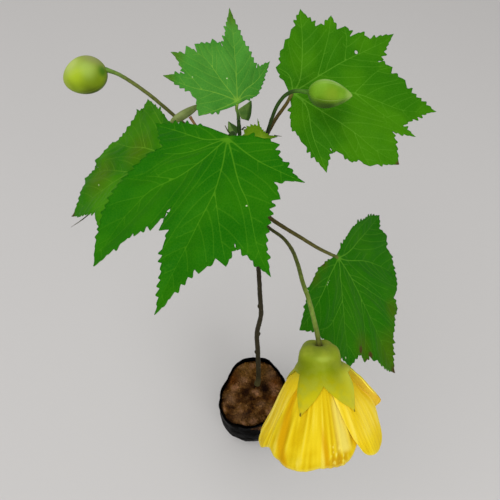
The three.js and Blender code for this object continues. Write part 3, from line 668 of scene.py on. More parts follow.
recipe, given, made = new_recipe("scatter pores", {
    "Pores per m2": 3.0e4, "Half length": 0.42 * MM, "Half width": 0.24 * MM, "Seed": 5})
spots = add_node(recipe, "GeometryNodeDistributePointsOnFaces", {
    "Mesh": given["Geometry"], "Density": given["Pores per m2"], "Seed": given["Seed"]})
grain = add_node(recipe, "GeometryNodeMeshIcoSphere", {"Radius": 1.0, "Subdivisions": 2})
lens = add_node(recipe, "ShaderNodeCombineXYZ", {
    "X": given["Half width"], "Y": given["Half length"], "Z": given["Half width"]})
draw = add_node(recipe, "FunctionNodeRandomValue", {"Min": 0.5, "Max": 1.1, "Seed": given["Seed"]})
lens = add_node(recipe, "ShaderNodeVectorMath", {0: lens, "Scale": draw}, operation="SCALE")
strew(recipe, made, spots, grain, spots.outputs["Rotation"], lens, cork())

dress(cook(recipe, stem_piece, "stem_pores"), "bark")

# %% [markdown]
# ## Leaf blades: the numbers
# An abutilon's leaf is lobed like a maple's, with toothed edges. Every blade is given by where
# its stalk joins it, how its midrib points, tips and rolls, how much it droops, and its rim as
# valleys and lobe tips by turns. These are the solid's own numbers. What is new here are the
# veins: main veins run from the stalk's end to the lobe tips, and some of them fork.

# %% Leaf numbers
NOTCH_RADIUS = 2
# Rims are [degrees from the midrib, mm, how far the edge up to the next corner bows out in mm].
LEAVES = {
    "leaf_front": dict(
        junction=(-13.4, -18.9, 412.1), heading=-115, pitch=-13, roll=14, droop=0.0016,
        rim=[
            [109, 9], [98, 17], [91, 26], [85, 25, -1.3], [71, 46, -1.1], [60, 36], [56, 45], [52, 43, -2.3],
            [39, 73], [29, 55], [25, 64], [21, 60], [16, 67], [14, 65], [5, 85, -0.8], [-3, 58], [-4.5, 50],
            [-10, 52], [-13, 40], [-14.5, 54], [-18, 53], [-20, 60], [-21.5, 59], [-23, 66], [-26, 82, 10],
            [-75, 34], [-97, 48], [-104, 25], [-109, 17]],
        veins=[
            [[-31, 24], [-38, 42], [-33, 62], [-27, 80]], [[14, 28], [9, 44], [4.5, 82]],
            [[37, 27], [39, 38], [37.5, 61], [38.6, 71]], [[66, 22], [70.5, 44]], [[-82, 11], [-96, 45]],
            [[-62, 24], [-68, 33]]],
        forks=[[[14, 28], [22, 48], [25, 62]], [[-34, 30], [-52, 42]]]),
    "leaf_left": dict(
        junction=(-43.8, -0.2, 385.3), heading=-177, pitch=-33, roll=-12, droop=0.0029,
        rim=[
            [120, 9], [96, 22], [61, 22], [55, 36], [31, 43], [25, 57, 2], [3, 60], [-6, 88, -1.5], [-19, 76],
            [-23, 82], [-27, 68], [-31, 74, -2], [-42, 64, -1.7], [-50, 52, -3], [-65, 59], [-67, 50],
            [-74, 58], [-86, 30], [-90, 25], [-102, 21], [-120, 10]],
        veins=[
            [[-14, 31], [-9, 61], [-6.5, 86]], [[-44, 25], [-41, 42], [-42, 62]],
            [[-80, 20], [-75, 48], [-74.5, 56]], [[22, 26], [25, 55]], [[60, 18], [56, 34]]],
        forks=[[[-44, 25], [-60, 43], [-65, 57]], [[-14, 31], [-24, 60], [-23.5, 80]]]),
    "leaf_top": dict(
        junction=(-10.3, 22.3, 403.2), heading=96, pitch=39, roll=30, droop=0.004,
        rim=[
            [125, 8], [120, 11], [112, 24], [92, 23], [89, 25], [84, 26], [76, 40], [68, 30, -1], [58, 40],
            [52, 34], [45, 36], [41, 30], [38, 34], [22, 31], [18, 33], [10, 28], [-4, 51, -1.6], [-38, 24],
            [-46, 36], [-73, 14], [-79, 6]],
        veins=[
            [[-5, 16], [-4, 50]], [[39, 14], [38, 25], [44.5, 35]], [[75, 13], [79, 26], [76, 39]],
            [[-42, 8], [-49, 19], [-46.5, 35]], [[115, 10], [112, 23]], [[-64, 8], [-72, 13]]],
        forks=[[[77, 20], [60, 38.5]], [[38, 20], [20, 31.5]]]),
    "leaf_right": dict(
        junction=(19.8, 38.3, 397.1), heading=6, pitch=-3, roll=35, droop=0.0022,
        rim=[
            [124, 8], [120, 17], [109, 18], [104, 24], [99, 25], [95, 30], [90, 31], [88, 36], [84, 39],
            [81, 50], [68, 41], [65, 44], [62.5, 44], [61, 52], [53, 46], [50, 51, 1], [43, 48], [41, 53],
            [34, 56], [30, 72], [20, 54], [15, 62], [12, 60], [7, 67], [3, 67, -0.9], [-6, 87, -1.7],
            [-16, 66], [-19, 75], [-21, 60], [-34, 72], [-41, 61], [-44, 59], [-46, 55, -2], [-51, 50],
            [-53, 43], [-58, 36], [-69, 47], [-79, 30], [-84, 27, -0.8], [-98, 19], [-102, 7]],
        veins=[
            [[59, 8], [75, 28], [81, 49]], [[32, 21], [31, 36], [29, 65], [30, 71]],
            [[0, 18], [0, 35], [-8, 66], [-6.2, 86]], [[-33, 21], [-33, 40], [-35, 56], [-34, 70]],
            [[-46, 10], [-67, 25], [-69, 46]], [[98, 10], [116, 16]]],
        forks=[
            [[32, 17], [57, 43], [61, 51]], [[0, 35], [15, 53], [15, 61]], [[0, 35], [-12, 51], [-18.8, 74]],
            [[-33, 40], [-42, 52], [-44, 58]], [[31, 36], [44, 46], [50, 50]]]),
    "leaf_low": dict(
        junction=(50.5, -11.9, 314.6), heading=-47, pitch=-45, roll=-16, droop=0.0005,
        rim=[
            [117, 7], [107, 25, 1.7], [87, 64], [80, 56], [73, 61], [66, 57, 7], [32, 62], [28, 70],
            [22, 67, -4], [1, 92, 0.9], [-9, 71], [-12, 70], [-14, 65], [-19, 67], [-22, 58], [-33, 66],
            [-66, 50], [-77, 57], [-88, 39], [-94, 34], [-107, 19], [-116, 8]],
        veins=[
            [[75, 12], [83, 29], [86.5, 63]], [[47, 7], [54, 34], [49, 60]],
            [[11, 15], [5, 32], [2, 61], [1, 91]],
            [[-28, 11], [-33, 26], [-34, 50], [-33, 65]], [[-73, 10], [-74, 37], [-77, 56]]],
        forks=[
            [[5, 32], [-12, 55], [-19, 66]], [[-33, 26], [-53, 43], [-64, 49]],
            [[11, 18], [24, 45], [28, 69]]]),
    "leaf_small": dict(
        junction=(2.5, 5.8, 392.7), heading=100, pitch=37, roll=0, droop=0.01,
        rim=[
            [120, 5], [96, 9.6], [88, 8.4], [76, 10.2], [68, 9.2], [58, 10.4], [51, 9], [44, 10.1],
            [38, 8.4], [31, 9.3], [26, 7.6], [19, 8.2], [14, 6.6], [9, 7.2], [4, 10.6], [1, 5.8],
            [-6, 5.4], [-9, 4.2], [-17, 4.6], [-24, 3.4], [-33, 4.4], [-45, 3.1], [-58, 4.0],
            [-70, 3.6], [-80, 4.8], [-91, 8.4], [-99, 5.2], [-120, 3]],
        veins=[[[4, 9.4]], [[55, 10]], [[-90, 8]]],
        forks=[]),
}
lobes = {name: max(corner[1] for corner in leaf["rim"]) for name, leaf in LEAVES.items()}
print("longest lobe of each leaf, in mm:", lobes)

# %% [markdown]
# ## Leaf blades: teeth, veins and a flat mesh
# The teeth are small saws that lean towards the lobe tips. Side veins leave each main vein on
# alternate sides at about 45 degrees and run until they near the edge or another vein. The flat
# blade is then cut into triangles by a constrained Delaunay triangulation: the outline and all
# veins become edges of the mesh, so creases and colours follow them exactly.

# %% Toothed rim
def polar(places):
    """[degrees, mm] pairs as flat points, with the midrib along X."""
    places = np.array([p[:2] for p in places], float)
    angles = np.radians(places[:, 0])
    return np.stack([np.cos(angles), np.sin(angles)], 1) * places[:, 1:]


TOOTH_POINTS = 6
# Each tooth rises over this share of its length and falls over the rest.
TOOTH_RISE = 0.8
TOOTH_HEIGHTS = (0.3, 1.4)
BARE_STEP = 0.8
SMOOTH_TIP = 14
SMOOTH_VALLEY = 2


def toothed_rim(rim, spacing, height, chance):
    """The blade's outline, with small teeth along each edge of the rim."""
    corners = [[180, NOTCH_RADIUS], *rim]
    flat = polar(corners)
    outline = []
    for i, start in enumerate(flat):
        run = flat[(i + 1) % len(flat)] - start
        length = np.linalg.norm(run)
        outward = np.array([-run[1], run[0]]) / length
        bow = corners[i][2] if len(corners[i]) > 2 else 0
        bare = i == 0 or i == len(flat) - 1
        teeth = 0 if bare or length < 1.6 * spacing else round(length / spacing)
        points = max(1, teeth * TOOTH_POINTS or round(length / BARE_STEP))
        share = np.linspace(0, 1, points, endpoint=False)
        phase = (share * teeth) % 1
        outer_first = np.linalg.norm(start) > np.linalg.norm(start + run)
        if outer_first:
            phase = 1 - phase
        rise, fall = (phase / TOOTH_RISE) ** 1.3, (1 - phase) / (1 - TOOTH_RISE)
        tooth = np.where(phase < TOOTH_RISE, rise, fall) if teeth else 0 * share
        heights = chance.uniform(*TOOTH_HEIGHTS, teeth + 1)[(share * teeth).astype(int)]
        # The teeth grow from nothing at the lobe's tip, which is smooth, and end just before the valley.
        to_tip, to_valley = (share, 1 - share) if outer_first else (1 - share, share)
        near = ease(to_tip * length, 0, min(SMOOTH_TIP, 0.9 * length))
        near *= ease(to_valley * length, 0, SMOOTH_VALLEY)
        offset = 4 * bow * share * (1 - share) + height * heights * tooth * near
        outline += list(start + run * share[:, None] + outward * offset[:, None])
    return np.array(outline)


print("corners round a rim:", {name: len(leaf["rim"]) + 1 for name, leaf in LEAVES.items()})

# %% Distance from lines
def inside(points, outline):
    """True for each flat point that lies within the outline."""
    x, y = points[:, :1], points[:, 1:2]
    ax, ay = outline[:, 0], outline[:, 1]
    bx, by = np.roll(ax, -1), np.roll(ay, -1)
    crosses = (ay > y) != (by > y)
    at = ax + (y - ay) * (bx - ax) / np.where(by == ay, 1e-9, by - ay)
    return (crosses & (x < at)).sum(1) % 2 == 1


def finder(lines, step=0.15):
    """A search tree of close samples on lines, with the half-width of the line at each of them."""
    places, widths = [], []
    for line, half_widths in lines:
        run = np.concatenate([[0], np.cumsum(np.hypot(*np.diff(line, axis=0).T))])
        even = np.arange(0, run[-1], step)
        places += list(np.stack([np.interp(even, run, line[:, i]) for i in (0, 1)] + [0 * even], 1))
        widths += list(np.interp(even, run, half_widths))
    tree = KDTree(max(1, len(places)))
    for number, place in enumerate(places):
        tree.insert(place, number)
    tree.balance()
    return tree, np.array(widths or [1.0])


def distance(points, lines):
    """How far flat points lie from the nearest line, in mm and in half-widths of that line."""
    tree, widths = finder(lines)
    found = [tree.find((x, y, 0)) for x, y in points]
    away = np.array([f[2] if f[2] is not None else 1e3 for f in found])
    return away, away / widths[[f[1] or 0 for f in found]]


print("two steps from a line:", distance([(0, 2)], [(np.array([[0, 0], [5, 0]]), np.ones(2))])[0].round(2))

# %% Vein lines
VEIN_STEP = 1.3
# Side veins: their step in mm, how many steps at most, their lean in degrees, how much of it is
# left after each step, and how near in mm they come to another vein.
SIDE_STEP = 1.2
SIDE_STEPS = 40
SIDE_LEAN = 46
SIDE_STRAIGHTENS = 0.965
SIDE_CLEARANCE = 1.5


def vein_lines(leaf, outline, half_width, spacing, chance):
    """The main veins and the side veins, each as its line and its half-width along it."""
    mains = []
    for kind in ("veins", "forks"):
        for places in leaf[kind]:
            if kind == "veins":
                places = [[places[0][0], 0.4], *places]
            line = smooth_way(polar(places), VEIN_STEP)
            mains.append((line, half_width * np.linspace(1 if kind == "veins" else 0.6, 0.3, len(line))))
    sides, drawn = [], np.full((1, 2), 1e3)
    for number, (line, _) in enumerate(mains):
        others, _ = finder(mains[:number] + mains[number + 1:])
        for hand in (1, -1):
            begin = spacing / VEIN_STEP * chance.uniform(0.5, 1)
            while begin < len(line) - 3:
                root = round(begin)
                way = unit(line[root + 1] - line[root - 1])
                lean = math.radians(SIDE_LEAN) * hand * chance.uniform(0.8, 1.15)
                path = [line[root]]
                while len(path) < SIDE_STEPS:
                    lean *= SIDE_STRAIGHTENS
                    c, s = math.cos(lean), math.sin(lean)
                    step = np.array([c * way[0] - s * way[1], s * way[0] + c * way[1]])
                    spot = path[-1] + SIDE_STEP * step
                    apart = min(others.find((*spot, 0))[2] or 0, np.hypot(*(drawn - spot).T).min())
                    too_near = len(path) > 2 and apart < SIDE_CLEARANCE
                    if too_near or not inside(spot[None] + step, outline)[0]:
                        break
                    path.append(spot)
                if len(path) > 3:
                    sides.append((np.array(path), half_width * np.linspace(0.5, 0.2, len(path))))
                    drawn = np.vstack([drawn, path])
                begin += spacing / VEIN_STEP * chance.uniform(0.7, 1.4)
    return mains, sides


print("side veins lean out at about", SIDE_LEAN, "degrees")

# %% Flat mesh of a blade
def flat_blade(outline, lines, holes, spacing):
    """Points and triangles of the flat blade, with the outline, lines and holes as edges."""
    low, high = outline.min(0), outline.max(0)
    rows = np.arange(low[1], high[1], spacing * 0.866)
    columns = np.arange(low[0], high[0], spacing)
    grid = np.array([(x + (row % 2) * spacing / 2, y) for row, y in enumerate(rows) for x in columns])
    grid = grid[inside(grid, outline)]
    closed = np.vstack([outline, outline[:1]])
    rims = [(np.vstack([h, h[:1]]), np.ones(len(h) + 1)) for h in holes]
    apart, _ = distance(grid, [(closed, np.ones(len(closed))), *lines, *rims])
    grid = grid[apart > 0.45 * spacing]
    points, edges = [], []
    for line, loop in [(outline, True), *((l, False) for l, _ in lines), *((h, True) for h in holes)]:
        first = len(points)
        points += list(line)
        edges += [(first + i, first + i + 1) for i in range(len(line) - 1)]
        if loop:
            edges.append((len(points) - 1, first))
    points += list(grid)
    rim = list(range(len(outline)))
    places, _, faces, *_ = delaunay_2d_cdt([Vector(p) for p in points], edges, [rim], 1, 1e-4)
    places = np.array([tuple(p) for p in places])
    middles = np.array([places[list(face)].mean(0) for face in faces])
    keep = inside(middles, outline)
    for hole in holes:
        keep &= ~inside(middles, hole)
    faces = [tuple(face) for face, wanted in zip(faces, keep) if wanted]
    used = sorted({i for face in faces for i in face})
    number = {old: new for new, old in enumerate(used)}
    return places[used], [tuple(number[i] for i in face) for face in faces]


print("flat blades are ready to be cut")

# %% [markdown]
# ## Leaf material
# A leaf's upper face is a smooth waxy skin over green flesh: a soft sheen, no gloss. Its colour
# varies in broad soft patches, and the veins show as yellow-green lines that fade to the tips.
# Between them runs a net of finest veins, drawn at 1.3 mm, coarser than real so that it shows.
# The lower face is paler and matt. Dry tips are brown, and a few specks are bleached.

# %% Leaf material
def leaf_skin(name, deep, light, vein, under):
    # A waxy skin over green flesh: soft sheen above, paler and matt below, with a drawn vein net.
    material, tree, shader, place = start_material(name, IOR=1.4, Specular_IOR_Level=0.05)
    clouds = add_node(tree, "ShaderNodeTexNoise", {"Vector": place, "Scale": per_mm(24)})
    cells = add_node(tree, "ShaderNodeTexVoronoi", {
        "Vector": place, "Scale": per_mm(1.3)}, feature="DISTANCE_TO_EDGE")
    colour = layered(tree, deep, [
        (clouds, 0.35, 0.65, 0.0, 1.0, light), ("olive", 0.0, 0.9, 0.0, 0.6, "#486200"),
        (cells, 0.0, 0.12, 0.1, 0.0, vein), ("side_vein", 0.4, 2.4, 0.2, 0.0, vein),
        ("main_vein", 0.3, 1.5, 0.5, 0.0, vein), ("from_stalk", 0.5, 4.0, 0.35, 0.0, vein),
        ("under", 0.4, 0.6, 0.0, 0.75, under), ("dry", 0.25, 0.75, 0.0, 1.0, "#4a3c18"),
        ("pale", 0.4, 0.8, 0.0, 1.0, "#d6dfb4")])
    lower_face = add_node(tree, "ShaderNodeAttribute", attribute_name="under").outputs["Fac"]
    dull = add_node(tree, "ShaderNodeMapRange", {"Value": lower_face, "To Min": 0.5, "To Max": 0.8})
    puffs = add_node(tree, "ShaderNodeMapRange", {"Value": cells, "From Max": 0.3}, **SMOOTH)
    puffs = add_node(tree, "ShaderNodeBump", {"Height": puffs, "Distance": 0.05 * MM})
    fine = grainy(tree, place, 0.35, 0.03, Normal=puffs)
    wire(tree, shader, {"Base Color": colour, "Roughness": dull, "Normal": fine})
    return material


print("the vein net is drawn at", round(1 / per_mm(1.3) / MM, 1), "mm")

# %% Leaf colours and marks
LEAF_LOOKS = {
    "leaf_front": dict(deep="#1a6600", light="#277000", vein="#5c9a1a", under="#6f9452"),
    "leaf_left": dict(deep="#266e00", light="#3e8204", vein="#74a62c", under="#6f9452"),
    "leaf_right": dict(deep="#2c6c02", light="#3e7c04", vein="#66a02a", under="#6f9452"),
    "leaf_low": dict(deep="#1e6600", light="#286c02", vein="#66a42a", under="#6f9452"),
    "leaf_top": dict(deep="#3c8228", light="#4c9032", vein="#88b83e", under="#7fa468"),
    "leaf_small": dict(deep="#3c6204", light="#5a800a", vein="#7e9826", under="#8aa04a"),
}
# Dry places, olive flushes and bleached specks, as [degrees, mm, radius in mm], and holes right through.
LEAF_MARKS = {
    "leaf_front": dict(pale=[[38, 39, 0.55], [9, 45, 0.5]]),
    "leaf_left": dict(pale=[[-14, 59, 0.65]], dry=[[-6, 88, 3]], olive=[[-20, 60, 10], [-40, 30, 8]]),
    "leaf_top": dict(pale=[[24, 12, 0.5], [68, 26, 0.5]], olive=[[76, 39, 4], [58, 39, 4], [-4, 48, 6]]),
    "leaf_right": dict(holes=[[32, 45, 1.1]], dry=[[-34, 72, 2]]),
    "leaf_low": dict(
        pale=[[-37, 60, 0.8], [-70.5, 17, 0.5], [-71, 19, 0.6], [-71.5, 21, 0.5]],
        dry=[[1, 92, 5], [-21, 58, 2.2], [-13, 65, 2], [-17, 67, 1.6], [30, 70, 1.4], [-110, 17, 1.6]],
        olive=[[4, 78, 12], [24, 64, 6], [-18, 58, 7], [-100, 28, 5], [-112, 16, 4]]),
    "leaf_small": dict(olive=[[100, 9, 2.5], [60, 10, 1.5]]),
}
print("leaf looks:", sorted(LEAF_LOOKS))

# %% [markdown]
# ## Leaf blades: relief and bend
# A blade is not flat. It is sunk along the main veins and puffed up a little between the side
# veins, and its lobes rise and fall. Below, the main veins stand out as ribs. The blade is then
# bent down away from the stalk on a large circle, as its solid is, and set in its place.

# %% A blade in its place
def leaf_frame(leaf):
    """The turn of a blade: its heading, its pitch and its roll."""
    return turned(leaf["heading"], "z") @ turned(-leaf["pitch"], "y") @ turned(leaf["roll"], "x")


def blade_point(leaf, flat, level):
    """Points of a blade from their flat places and their level above its middle, in mm."""
    reach = np.hypot(*flat.T)
    bend = leaf["droop"] * reach
    radius = (1 / leaf["droop"] + level) * np.sin(bend)
    height = (1 / leaf["droop"] + level) * np.cos(bend) - 1 / leaf["droop"]
    way = flat / np.maximum(reach, 1e-6)[:, None]
    local = np.column_stack([way * radius[:, None], height])
    return np.array(leaf["junction"]) + local @ leaf_frame(leaf).T


print("leaves head towards, in degrees:", {name: leaf["heading"] for name, leaf in LEAVES.items()})

# %% Leaves
# These sizes in mm are those of a full-grown blade, and smaller blades take a share of them.
FULL_GROWN = 80
TOOTH_SPACING = 3.8
TOOTH_HEIGHT = 2.1
VEIN_HALF_WIDTH = 0.42
SIDE_VEIN_SPACING = 9.5
MESH_SPACING = 0.95
BLADE_HALF = 0.3
FOLD_DEPTH = 1.5
PUFF_HEIGHT = 0.5
WAVE_HEIGHT = 1.2
RIPPLE_HEIGHT = 0.5
RIB_HEIGHT = 0.45
SIDE_RIB_HEIGHT = 0.2


def leaf_blade(name, seed):
    """One leaf: its flat mesh, its relief, and the marks that place its colours."""
    leaf, marks_at = LEAVES[name], LEAF_MARKS[name]
    size = max(corner[1] for corner in leaf["rim"])
    grown = min(1.0, size / FULL_GROWN)
    fine = grown ** 0.5
    chance = np.random.default_rng(seed)
    outline = toothed_rim(leaf["rim"], TOOTH_SPACING * fine, TOOTH_HEIGHT * fine, chance)
    mains, sides = vein_lines(leaf, outline, VEIN_HALF_WIDTH * fine, SIDE_VEIN_SPACING * fine, chance)
    turns = full_turn(10)
    ring = np.stack([np.cos(turns), np.sin(turns)], 1)
    holes = [polar([h])[0] + h[2] * ring for h in marks_at.get("holes", [])]
    flat, faces = flat_blade(outline, mains + sides, holes, MESH_SPACING * fine)
    main_mm, main_share = distance(flat, mains)
    side_mm, side_share = distance(flat, sides)
    reach = np.hypot(*flat.T)
    angle = np.arctan2(flat[:, 1], flat[:, 0])
    folds = FOLD_DEPTH * grown * (1 - hill(main_mm, 0, 7))
    puffs = PUFF_HEIGHT * grown * (1 - hill(np.minimum(side_mm, main_mm), 0, 2.4 * grown))
    wave = WAVE_HEIGHT * grown * (reach / size) ** 2 * np.sin(5 * angle + seed)
    ripple = RIPPLE_HEIGHT * rough(np.column_stack([flat, 0 * reach]), 11 * grown, seed)
    level = folds + puffs + wave + ripple - 0.8 * grown
    level *= ease(reach, 2, 14)
    half = BLADE_HALF * fine
    ribs = RIB_HEIGHT * grown * hill(main_share, 0, 1) + SIDE_RIB_HEIGHT * grown * hill(side_mm, 0, 0.35)
    upper = blade_point(leaf, flat, level + half)
    lower = blade_point(leaf, flat, level - half - ribs)
    # Towards the tips the veins sink into the green, so the marks count as further away there.
    faded = 0.8 * (reach / size) ** 2
    marks = {"main_vein": np.minimum(main_share + faded, 5), "side_vein": np.minimum(side_share + faded, 5),
             "from_stalk": reach}
    for label in ("dry", "pale", "olive"):
        marks[label] = 0 * reach
        for degrees, radius, spread in marks_at.get(label, []):
            away = np.hypot(*(flat - polar([[degrees, radius]])[0]).T)
            marks[label] = np.maximum(marks[label], 1 - away / (2 * spread))
    skin = leaf_skin(name + "_skin", **LEAF_LOOKS[name])
    return blade_skin(name + "_blade", upper, lower, faces, flat, skin, marks)


for seed, name in enumerate(LEAVES):
    young = name in ("leaf_top", "leaf_small")
    dress(leaf_blade(name, seed + 1), "young_leaf" if young else "leaf", name)

# %% [markdown]
# ## Flower bell
# The flower hangs from its stalk with the mouth down. All its parts share one frame: Z runs
# down the bell's axis, X faces up and forward, Y is the flower's left side as seen in front.
# The bell's radius widens down the axis, and petals and sepals are laid over that one shape.

# %% Bell frame
FLOWER_AT = np.array([29.8, -83.9, 339.2])
FLOWER_HEADING = -88
FLOWER_TILT = 41
BELL_DEPTHS = [0, 8, 12, 17, 22, 28, 38, 48, 56]
BELL_RADII = [5.5, 8.4, 10.8, 13.8, 16.4, 19.4, 24.2, 28, 29]
BELL_FLATTEN = 0.05
# The petals spread apart on the bell's right flank: its direction, and depths to give heights at.
SWELL_AT = -97
SWELL_DEPTHS = [8, 12, 14, 18, 23, 27, 31, 34, 40, 46, 53]
# The left flank is a little drawn in, so that its outline runs straight.
WAIST_AT = 100
WAIST_SPREAD = 38
WAIST_DEPTH = 1.2
bell_line = smooth_way(list(zip(BELL_DEPTHS, BELL_RADII)), 0.5)
heading, tilt = math.radians(FLOWER_HEADING), math.radians(FLOWER_TILT)
level_way = np.array([math.cos(heading), math.sin(heading), 0])
straight_up = np.array([0, 0, 1])
bell_axis = math.sin(tilt) * level_way - math.cos(tilt) * straight_up
bell_front = math.cos(tilt) * level_way + math.sin(tilt) * straight_up
bell_frame = np.stack([bell_front, np.cross(bell_axis, bell_front), bell_axis])


def bell_radius(depth, angle):
    """The bell's radius in mm at a depth, a little less in front and behind than at its sides."""
    radius = np.interp(depth, bell_line[:, 0], bell_line[:, 1])
    return radius * (1 - BELL_FLATTEN * np.cos(2 * angle))


def swelling(degrees, depth, heights, spread):
    """How far the bell's right flank is pushed out, in mm, from its heights at set depths."""
    return np.interp(depth, SWELL_DEPTHS, heights) * hill(beside(degrees, SWELL_AT), 0, spread)


def drawn_in(degrees, depth, *waists):
    """How far the bell's left flank is drawn in, in mm, at waists of a depth and a spread."""
    return WAIST_DEPTH * hill(degrees, WAIST_AT, WAIST_SPREAD) * sum(hill(depth, *waist) for waist in waists)


def in_bell(radius, angle, depth):
    """Points given round the bell's axis, in the row frame in mm."""
    local = np.stack(np.broadcast_arrays(radius * np.cos(angle), radius * np.sin(angle), depth), -1)
    return FLOWER_AT + local @ bell_frame


print("bell axis:", bell_axis.round(2))

# %% [markdown]
# ## Petals
# Each petal is a broad fan, rolled so that its left edge lies over the next petal. Fine pleats
# run down it from the base and widen towards the rounded end, where the thin tissue crinkles.
# The colour is a clear yellow, pale at the thin margins and green at the base. Over it lie a
# painted highlight on each ridge and painted shade down in the folds, and each whole petal is
# made lighter or darker as painted light. The ridge height is kept at the points to place them.

# %% Petal material
def petal_tissue():
    # Thin living tissue: matt, lit evenly, with a painted highlight on each ridge and painted shade
    # in each fold.
    material, tree, shader, place = start_material(
        "petal_tissue", Roughness=0.6, IOR=1.35, Specular_IOR_Level=0.08, Sheen_Weight=0.02)
    ridge, across, tone = (add_node(tree, "ShaderNodeAttribute", attribute_name=label).outputs["Fac"]
                           for label in ("ridge", "across", "tone"))
    # The ridge height gives painted shade in the folds and a painted highlight on the ridges.
    height = add_node(tree, "ShaderNodeMapRange", {"Value": ridge, "From Min": -1.0}, **SMOOTH)
    colour = add_node(tree, "ShaderNodeValToRGB", {0: height}, ramp=[
        (0.0, "#c69c00"), (0.3, "#dab806"), (0.6, "#ebce1e"), (1.0, "#f6e25a")])
    clouds = add_node(tree, "ShaderNodeTexNoise", {"Vector": place, "Scale": per_mm(9)})
    # The deep gold tint is painted shade in folds and gaps, and the cream tint is partly the tissue's own
    # pale colour and partly painted highlight.
    colour = layered(tree, colour, [
        (clouds, 0.35, 0.7, 0.0, 0.35, "#e2c81c"), ("cream", 0.0, 1.0, 0.0, 0.8, "#f0de68"),
        ("gold", 0.0, 1.0, 0.0, 1.0, "#d8a502"), ("singed", 0.0, 1.0, 0.0, 0.85, "#c8980f"),
        ("margin", 0.6, 1.0, 0.0, 0.5, "#e2d566"), ("base", 0.05, 0.3, 0.9, 0.0, "#a9ad25")])
    # Each petal's tone is painted light, raised on petals that turn away from the lamps.
    colour = add_node(tree, "ShaderNodeVectorMath", {0: colour, "Scale": tone}, operation="SCALE")
    across = add_node(tree, "ShaderNodeCombineXYZ", {"X": across})
    threads = add_node(tree, "ShaderNodeTexWave", {"Vector": across, "Scale": 14.0, "Distortion": 0.6})
    threads = add_node(tree, "ShaderNodeBump", {"Height": threads.outputs["Fac"], "Distance": 0.05 * MM})
    fine = grainy(tree, place, 1.2, 0.08, Normal=threads)
    wire(tree, shader, {"Base Color": colour, "Normal": fine})
    return material


tissue = petal_tissue()
print("petal tissue is ready")

# %% Petal shapes
PETAL_START = 5
PETAL_THICKNESS = 0.6
PETAL_OVERLAP_LIFT = 0.8
# The waists on the left flank, as a depth and a spread in mm. The upper one is the calyx's too.
PETAL_WAIST = (37, 9)
CALYX_WAIST = (13.5, 3.5)
# Each petal: the direction of its middle, its half-widths in degrees towards its left and right
# edge at even steps from base to end, the depth of its end from right to left, how deeply it is
# pleated, how far it stands off the bell's right flank at the set depths and over how many
# degrees, how far its corners are rounded off in mm, and its lightness. The lightness is painted
# light: it is raised on the petals that turn away from the lamps.
FLAT = ([0] * len(SWELL_DEPTHS), 30)
PLAIN_WIDTHS = [16, 34, 45, 47, 47, 46, 42]
PLAIN_END = [40, 44.5, 47, 48.5, 49, 48.5, 47, 44.5, 40]
PETALS = {
    "petal_1": dict(
        middle=8, left=[16, 34, 47, 54, 58, 59, 58], right=[16, 34, 45, 47, 47, 46, 45],
        end=[40.5, 44.6, 46.9, 47.4, 47.4, 49.4, 49.7, 47.9, 45.0], pleats=1.0, swell=FLAT,
        corner=0.6, tone=0.96),
    "petal_2": dict(
        middle=80, left=PLAIN_WIDTHS, right=[16, 34, 45, 45, 40, 36, 34],
        end=[43, 43.5, 45, 47, 49.6, 50, 49, 47, 42], pleats=0.5, swell=FLAT, corner=1.5, tone=1.12),
    "petal_3": dict(
        middle=152, left=PLAIN_WIDTHS, right=PLAIN_WIDTHS, end=PLAIN_END, pleats=0.8, swell=FLAT,
        corner=2, tone=1.0),
    "petal_4": dict(
        middle=224, left=[16, 34, 46, 50, 50, 45, 34], right=PLAIN_WIDTHS,
        end=[40, 44.5, 47, 48.5, 48.5, 47.5, 44.5, 40, 32.5], pleats=0.35,
        swell=([0, 2.8, 4.0, 6.2, 7.6, 8.9, 9.6, 9.6, 8, 7, 6], 34), corner=2, tone=1.42),
    "petal_5": dict(
        middle=296, left=[16, 42, 47, 42, 37, 32, 25], right=[16, 34, 40, 40, 40, 40, 38],
        end=[41, 44.5, 47, 48.3, 48.6, 48.2, 47.4, 46.3, 45], pleats=0.22,
        swell=([0, 0.4, 0.8, 1.6, 3.6, 5.8, 6.2, 5.8, 4.4, 3.2, 2], 24), corner=1.5, tone=1.2),
}


def eased(table, share):
    """A table at even steps from 0 to 1, read smoothly."""
    line = smooth_way(list(zip(np.linspace(0, 1, len(table)), np.array(table) / 100)), 0.01)
    return 100 * np.interp(share, line[:, 0], line[:, 1])


print("petals:", {name: p["middle"] for name, p in PETALS.items()})

# %% Colours that have a place on the front petal
# The deep fold to the left of the middle, as its direction in degrees at set depths.
FOLD_DEPTHS = [12, 19, 25, 31, 40, 45, 50]
FOLD_DIRECTIONS = [56, 53, 54, 54, 52, 47, 42]


def front_petal_marks(degrees, depth, blotches):
    """Painted shade in the front petal's folds and gaps, its cream with painted highlights, and its singed
    end.
    """
    # The deep fold, a dark pleat and the gap at the right edge get painted shade.
    fold = hill(degrees, np.interp(depth, FOLD_DEPTHS, FOLD_DIRECTIONS), 5.5) * ease(depth, 13, 20)
    dark_pleat = hill(degrees, np.interp(depth, [20, 45], [8, 1]), 3.4) * ease(depth, 24, 38)
    shaded_edge = 0.8 * hill(degrees, -36, 4) * ease(depth, 18, 30)
    cream = hill(degrees, -20, 8) * ease(depth, 16, 24) * (1 - ease(depth, 40, 43.5))
    # Blotches of painted highlight lie where the end crinkles.
    cream = np.maximum(cream, 0.9 * ease(blotches, 0.15, 0.45) * hill(degrees, -12, 10) * ease(depth, 37, 39))
    singed = hill(degrees, -11, 11) * ease(depth, 41.5, 44.5) * (1 - ease(blotches, 0.1, 0.4))
    return np.maximum(np.maximum(fold, 0.75 * dark_pleat), shaded_edge), cream, singed


print("the deep fold turns from", FOLD_DIRECTIONS[0], "to", FOLD_DIRECTIONS[-1], "degrees")


# %% Petals
PETAL_ROWS = 101
PETAL_COLUMNS = 111
PLEATS_ACROSS = 5.2


